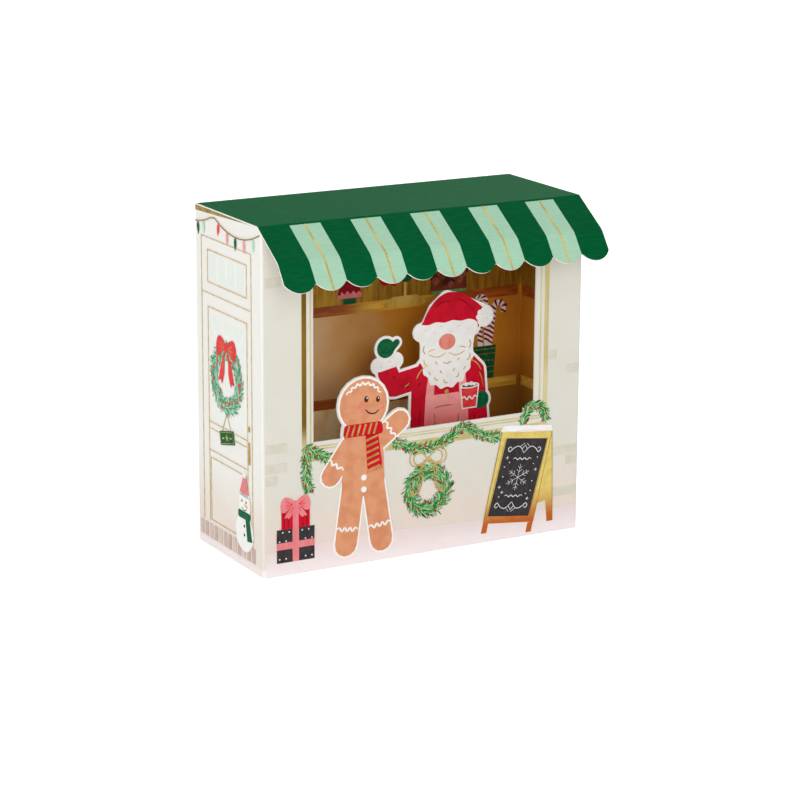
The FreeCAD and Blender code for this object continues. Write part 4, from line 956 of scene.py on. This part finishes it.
# The gnome shopkeeper: hat pulled low, round nose, curly beard
KEEPER = 72.5
BRIM = 66.3
hat = [(-9.4, BRIM - 0.4), (-8.6, 69.6), (-6.4, 73.6), (-3.2, 76.8), (0.6, 78.2), (4.8, 77.6), (8.4, 75.6),
       (11.6, 73.2), (13.6, 71.0), (12.8, 68.6), (11.2, 67.4), (9.9, BRIM - 0.6)]
drawn("keeper_hat_cloth", band, 0, 0.11, [blob(hat, KEEPER)], red, "red_ink", "keeper_hat")
folds = [[(-4.8, 73.6), (-2.0, 75.2), (1.4, 75.2)], [(2.2, 76.4), (5.8, 74.8), (8.8, 72.4), (10.2, 70.2)],
         [(-7.6, 70.2), (-6.2, 71.4)]]
drawn("keeper_hat_folds", band, 0.11, 0.125, curves(folds, 0.4, 0.9, KEEPER), dark_red, "red_ink")
beard = [(8.9, 65.6), (9.8, 62.4), (9.3, 59.6), (9.9, 57.2), (8.7, 55.0), (8.5, 52.8), (6.8, 51.4),
         (5.9, 49.0), (3.9, 48.8), (2.1, 47.3)]
beard = [(-a, b) for a, b in beard] + [(0.0, 47.9)] + beard[::-1]
drawn("keeper_beard_hair", band, 0, 0.12, [blob(beard, KEEPER)], white, "white_ink", "keeper_beard")
moustache = [(0, 60.6), (2.4, 61.7), (5.6, 61.4), (8.2, 59.4), (6.4, 58.8), (4.6, 57.9), (2.2, 57.9),
             (0, 59.0)]
whiskers = [blob([(sign * a, b) for a, b in moustache], KEEPER) for sign in (-1, 1)]
drawn("keeper_moustache", band, 0.12, 0.16, whiskers, white, "white_ink")
drawn("keeper_nose_tip", band, 0.1, 0.19, [oval(KEEPER, 62.4, 3.0, 2.6)], rose, "skin_ink", "keeper_nose")
fur = [(-10.6, 64.9), (-10.9, 67.0), (-9.6, 68.6), (-6.8, 68.4), (-4.0, 69.0), (-1.0, 68.6), (2.0, 69.1),
       (5.0, 68.6), (8.0, 68.9), (10.6, 67.8), (11.0, 65.6), (9.6, 63.9), (6.6, 64.4), (3.4, 63.7),
       (0.2, 64.3), (-3.2, 63.7), (-6.4, 64.4), (-9.2, 63.8)]
trim = [blob(fur, KEEPER), scalloped(KEEPER + 13.6, 69.1, 2.7, 9, 0.45)]
drawn("keeper_hat_trim", band, 0, 0.17, trim, white, "white_ink", "keeper_trim")
flecks = [(-8.0, 66.8, 1.2), (-4.6, 65.6, 1.0), (-2.2, 67.4, 1.2), (1.4, 65.4, 1.0), (4.2, 67.0, 1.2),
          (7.6, 65.8, 1.0), (9.4, 67.0, 0.7), (12.6, 70.0, 0.6), (14.4, 68.4, 0.6), (-23.6, 56.8, 1.0),
          (-20.6, 58.2, 1.1), (-19.6, 56.6, 0.8)]
gold_lines = [[(a - size / 2, b), (a + size / 2, b + 0.15)] for a, b, size in flecks]
locks = [[(-8.2, 62.0), (-8.6, 60.4), (-7.8, 59.2)], [(-8.4, 57.6), (-8.0, 56.0), (-7.0, 55.2)],
         [(-6.6, 53.6), (-6.0, 52.2)], [(-4.6, 51.6), (-3.9, 50.4), (-3.0, 50.4)],
         [(-1.2, 50.4), (-0.6, 49.2), (0.4, 49.2)], [(3.2, 50.6), (4.0, 50.8), (4.4, 52.0)],
         [(6.0, 52.6), (6.8, 53.8)], [(7.2, 55.6), (8.2, 56.4), (8.4, 57.8)],
         [(8.0, 59.4), (8.6, 60.8), (8.0, 62.2)], [(-4.4, 56.6), (-3.4, 55.4)], [(3.6, 55.8), (4.6, 56.8)],
         [(-1.6, 56.0), (0.0, 55.4), (1.6, 56.0)], [(-2.6, 53.4), (-1.8, 52.4)], [(2.2, 52.6), (2.8, 53.6)]]
curls = [[(0.5, 58.9), (2.6, 57.9), (4.6, 58.0), (6.6, 58.9)], [(4.4, 60.4), (5.8, 60.2), (6.8, 59.7)]]
curls = [[(sign * a, b) for a, b in curl] for sign in (-1, 1) for curl in curls]
seams = [[(-7.9, 55.2), (-9.8, 53.6), (-11.0, 51.6)], [(8.6, 55.8), (11.0, 54.2), (12.6, 51.8)],
         [(11.9, 51.4), (12.9, 48.6), (13.4, 46.0)], [(-4.6, 41.4), (-1.2, 41.8), (2.4, 41.7)],
         [(-4.4, 39.6), (-4.1, 36.4), (-3.2, 34.6)], [(4.4, 38.6), (4.2, 36.6), (3.4, 34.6)],
         [(-13.6, 50.6), (-15.2, 49.4)], [(-1.9, 34.2), (-0.9, 34.3)], [(1.0, 34.3), (2.0, 34.2)]]
gold_lines += [curved(line) for line in locks + curls + seams]
strokes = lines(gold_lines, 0.34, 0.7, KEEPER) + [oval(KEEPER, 46.2, 0.75, sides=16)]
drawn("keeper_gold_strokes", band, 0.1, 0.18, strokes, gold, "gold_foil")
shades = [[(-9.4, 50.4), (-10.6, 48.8)], [(-16.8, 50.6), (-15.0, 49.4), (-13.4, 49.2)],
          [(-18.4, 52.4), (-19.4, 53.6)], [(10.4, 37.4), (10.6, 33.4)], [(-9.6, 42.0), (-9.9, 36.0)]]
drawn("keeper_coat_folds", band, 0.1, 0.115, curves(shades, 0.5, 0.9, KEEPER), dark_red, "red_ink")

# The shopkeeper's cup and mittens
CUP = KEEPER + 8.4
body = moved([(-3.2, 47.2), (3.2, 47.2), (2.5, 40.0), (-2.5, 40.0)], CUP)
drawn("keeper_cup_body", band, 0, 0.115, [body], coral, "pink_ink", "keeper_cup")
edges = [[(-3.3, 47.2), (-2.55, 39.9)], [(3.3, 47.2), (2.55, 39.9)], [(-2.7, 39.9), (2.7, 39.9)]]
rim = [oval(CUP, 47.2, 3.5, 0.95, 24)] + lines(edges, 0.4, 0.0, CUP)
rim += lines([squiggle((-2.8, 43.2), (2.8, 43.2), 3, 0.5)], 0.45, 0.0, CUP)
drawn("keeper_cup_rim", band, 0.1, 0.135, rim, white, "white_ink")
drawn("keeper_cup_cocoa", band, 0.135, 0.15, [oval(CUP, 47.25, 2.8, 0.6, 24)], cocoa, "board_ink")
sweets = [oval(CUP + a, b, wide, high, 14)
          for a, b, wide, high in ((-1.2, 47.7, 0.85, 0.65), (0.5, 47.8, 0.9, 0.65), (1.7, 47.4, 0.6, 0.45))]
drawn("keeper_cup_sweets", band, 0.15, 0.165, sweets, white, "white_ink")
folds = [[(-23.6, 62.0), (-22.0, 61.2), (-20.6, 61.8)], [(11.6, 41.2), (12.8, 42.6)],
         [(11.9, 43.6), (13.2, 43.9)]]
drawn("keeper_mitten_folds", band, 0.1, 0.12, curves(folds, 0.35, 0.8, KEEPER), front_fir[0], "green_ink")

# Candy canes in their pot
POT = 97.7
POT_TOP = 54.4
CANE = 1.9
HOOK = 1.8
BAND_PITCH = 1.6
BAND_WIDTH = 0.75


def walk(points, distance):
    """The place and direction at a distance along a line."""
    for first, second in zip(points, points[1:]):
        run = math.dist(first, second)
        if distance <= run:
            along = (Vector(second) - Vector(first)) / run
            return Vector(first) + along * distance, along
        distance -= run
    return None, None


def cane_band(line, distance):
    """A slanted stripe across a cane, or nothing past its end."""
    first, along = walk(line, distance)
    second, after = walk(line, distance + BAND_WIDTH)
    if second is None:
        return None
    reach = CANE / 2 - 0.01
    a = Vector((-along.y, along.x)) * reach
    b = Vector((-after.y, after.x)) * reach
    return [tuple(point) for point in (first - a, second - b, second + b + along, first + a + along)]


canes, stripes = [], []
for u, v, lean, way in ((95.3, 50.1, 1.2, -1), (97.9, 53.6, 0.6, -1), (101.0, 51.1, -1.8, 1)):
    line = [(u + lean, v)]
    for step in range(9):
        angle = math.pi * step / 8
        line.append((u + way * HOOK * (1 - math.cos(angle)), v + 15.1 + HOOK * math.sin(angle)))
    line.append((u + way * 3.7, v + 13.6))
    canes.append(Stroke(line, CANE))
    distance = 0.2
    while cane_band(line, distance):
        if walk(line, distance)[0].y >= POT_TOP:
            stripes.append(cane_band(line, distance))
        distance += BAND_PITCH
drawn("cane_bodies", lining, 0.1, 0.16, canes, white, "cane_ink", "shelf_candy_canes")
drawn("cane_stripes", lining, 0.165, 0.18, stripes, dark_red, "red_ink")
bands = lines([((-4.0, v), (4.0, v)) for v in (45.2, 47.0, 51.4, 53.0)], 0.3, 0.0, POT)
bands += dots([(-3 + 1.5 * k, 49.2) for k in range(5)], 0.4, 10, POT)
drawn("pot_bands", lining, 0.2, 0.22, bands, dull_gold, "gold_foil")

# Goods on the upper shelf: a cake, hung baubles and a box of sweets
SHELF = 73.2
CAKE = 48.0
BOX = 84.0
drips = [(-4.3, 1.9), (-4.4, 3.4), (-3.4, 3.0), (-2.8, 4.2), (-1.8, 3.1), (-0.8, 4.4), (0.4, 3.2),
         (1.4, 4.3), (2.4, 3.1), (3.3, 4.0), (4.4, 3.2), (4.3, 1.9)]
drawn("cake_icing", lining, 0.2, 0.22, [moved(drips, CAKE, SHELF)], pink, "pink_ink")
berries = dots([(-2.2, 5.4), (0.2, 6.0), (2.2, 5.2), (0, 7.9)], 0.6, 12, CAKE, SHELF)
drawn("cake_berries", lining, 0.2, 0.24, berries, dark_red, "red_ink")
hung = (("red", red, ((61.0, 6.9, 2.3), (64.0, 5.9, 1.7))), ("green", green, ((68.4, 7.4, 2.3),)))
threads = []
for tone, ink, places in hung:
    shapes = [oval(u, SHELF + v, radius, sides=20) for u, v, radius in places]
    drawn("hung_baubles_" + tone, lining, 0.2, 0.3, shapes, ink, tone + "_ink")
    threads += [((u, SHELF + v + radius), (u, SHELF + v + 14)) for u, v, radius in places]
drawn("bauble_strings", lining, 0.1, 0.15, lines(threads, 0.25), dull_gold, "gold_foil")
rng = random.Random(5)
sweets = []
for _ in range(16):
    u, v = BOX + rng.uniform(-5.6, 5.6), SHELF + rng.uniform(2.6, 8.2)
    sweets.append(oval(u, v, rng.uniform(1.0, 1.5), sides=14))
drawn("box_truffles", lining, 0.2, 0.22, sweets[::2], cocoa, "board_ink")
drawn("box_biscuits", lining, 0.22, 0.25, sweets[1::2], truffle, "board_ink")
box_edge = lines([((-6.5, 0.5), (6.5, 0.5))], 0.9, 0.0, BOX, SHELF)
drawn("box_edge", lining, 0.2, 0.26, box_edge, front_fir[2], "green_ink")

# The snowman by the door
SNOWMAN = 33.5
HEAD = 20.2
HAT_TIP = corner("snowman_hat_trim", 1).z - 1.2
coal = dots([(-1.5, 1.0), (1.3, 1.0)], 0.42, 12, SNOWMAN, HEAD)
coal += dots([(0, 13.4), (0, 10.6)], 0.5, 12, SNOWMAN)
coal += curves([[(-1.7, -1.0), (-0.6, -1.7), (0.7, -1.7), (1.7, -1.0)]], 0.3, 0.6, SNOWMAN, HEAD)
drawn("snowman_face", side, 0.3, 0.33, coal, charcoal, "board_ink")
drawn("snowman_carrot", side, 0.3, 0.34, [leaf(SNOWMAN - 0.2, HEAD, 3.0, 1.3, -0.15)], sign_gold, "sign_ink")
brim = [pill(*moved([(-2.5, 3.3), (2.5, 3.3)], SNOWMAN, HEAD), 0.8), oval(SNOWMAN, HAT_TIP, 1.15, sides=18)]
drawn("snowman_hat_brim", side, 0.2, 0.3, brim, white, "white_ink", "snowman_hat_trim")
outlines = lines([ring(SNOWMAN, 11.4, 6.1), ring(SNOWMAN, HEAD, 4.2)], 0.22)
drawn("snowman_edge", side, 0.3, 0.31, outlines, snow, "snow_ink")

# Camera at the photo's viewing angle: metres, and degrees of heading, tilt down and roll
CAMERA_PLACE = (-0.40846, -0.72938, 0.26506)
HEADING, TILT, ROLL = -29.19, 14.70, 0.324
camera_data = bpy.data.cameras.new("camera")
camera_data.lens = 124.58
camera_data.sensor_width = 36.0
camera_data.clip_start = 0.01
camera = put("camera", camera_data)
camera_turn = Matrix.Rotation(math.radians(HEADING), 3, "Z")
camera_turn = camera_turn @ Matrix.Rotation(math.radians(90 - TILT), 3, "X")
camera_turn = camera_turn @ Matrix.Rotation(math.radians(ROLL), 3, "Z")
camera.matrix_world = Matrix.Translation(CAMERA_PLACE) @ camera_turn.to_4x4()
bpy.context.scene.camera = camera

# Soft lamps, each with its place and size in metres and its power in watts
CARD_MIDDLE = Vector((0, 0, 0.06))
for name, place, size, power in (("key_lamp", (-1.0, -0.55, 0.4), 0.6, 3.4),
                                 ("back_lamp", (0.9, 0.9, 0.5), 0.8, 2.0),
                                 ("front_lamp", (-0.3, -0.95, 0.42), 0.5, 2.3)):
    data = bpy.data.lights.new(name, "AREA")
    data.shape = "DISK"
    data.size = size
    data.energy = power
    lamp = put(name, data)
    lamp.location = place
    lamp.rotation_euler = (CARD_MIDDLE - Vector(place)).to_track_quat("-Z", "Y").to_euler()

# The world is white to the camera and in reflections, and dimmer as a light
world = bpy.data.worlds.new("studio")
bpy.context.scene.world = world
world.use_nodes = True
sky = Net(world.node_tree)
sky.tree.nodes.clear()
path = sky.node("ShaderNodeLightPath")
seen = path.out("Is Camera Ray") + path.out("Is Glossy Ray") + path.out("Is Transmission Ray")
strength = sky.smooth(seen, 0.0, 1.0, 0.6, 1.0)
background = sky.node("ShaderNodeBackground", None, {"Color": (1, 1, 1, 1), "Strength": strength})
sky.node("ShaderNodeOutputWorld", None, {"Surface": background})

# A pale floor just under the card, lifted to white for the camera alone
FLOOR_REACH = 8.0
FLOOR_DROP = 0.00002
FLOOR_GLOW = 0.55
floor_mesh = bpy.data.meshes.new("floor")
square = bar(-FLOOR_REACH, -FLOOR_REACH, FLOOR_REACH, FLOOR_REACH)
floor_mesh.from_pydata([(x, y, 0) for x, y in square], [], [(0, 1, 2, 3)])
floor = put("floor", floor_mesh)
floor.location.z = -FLOOR_DROP
floor_finish = Finish("floor", 0.9)
floor_finish.colour(rgb(250, 250, 250))
camera_ray = floor_finish.node("ShaderNodeLightPath").out("Is Camera Ray")
painted_highlight = floor_finish.blend(camera_ray, (0, 0, 0), (255, 255, 255))
floor_finish.feed(floor_finish.shader.inputs["Emission Color"], painted_highlight)
floor_finish.feed(floor_finish.shader.inputs["Emission Strength"], FLOOR_GLOW)
floor_mesh.materials.append(floor_finish.material)
bpy.context.scene.view_settings.view_transform = "Standard"
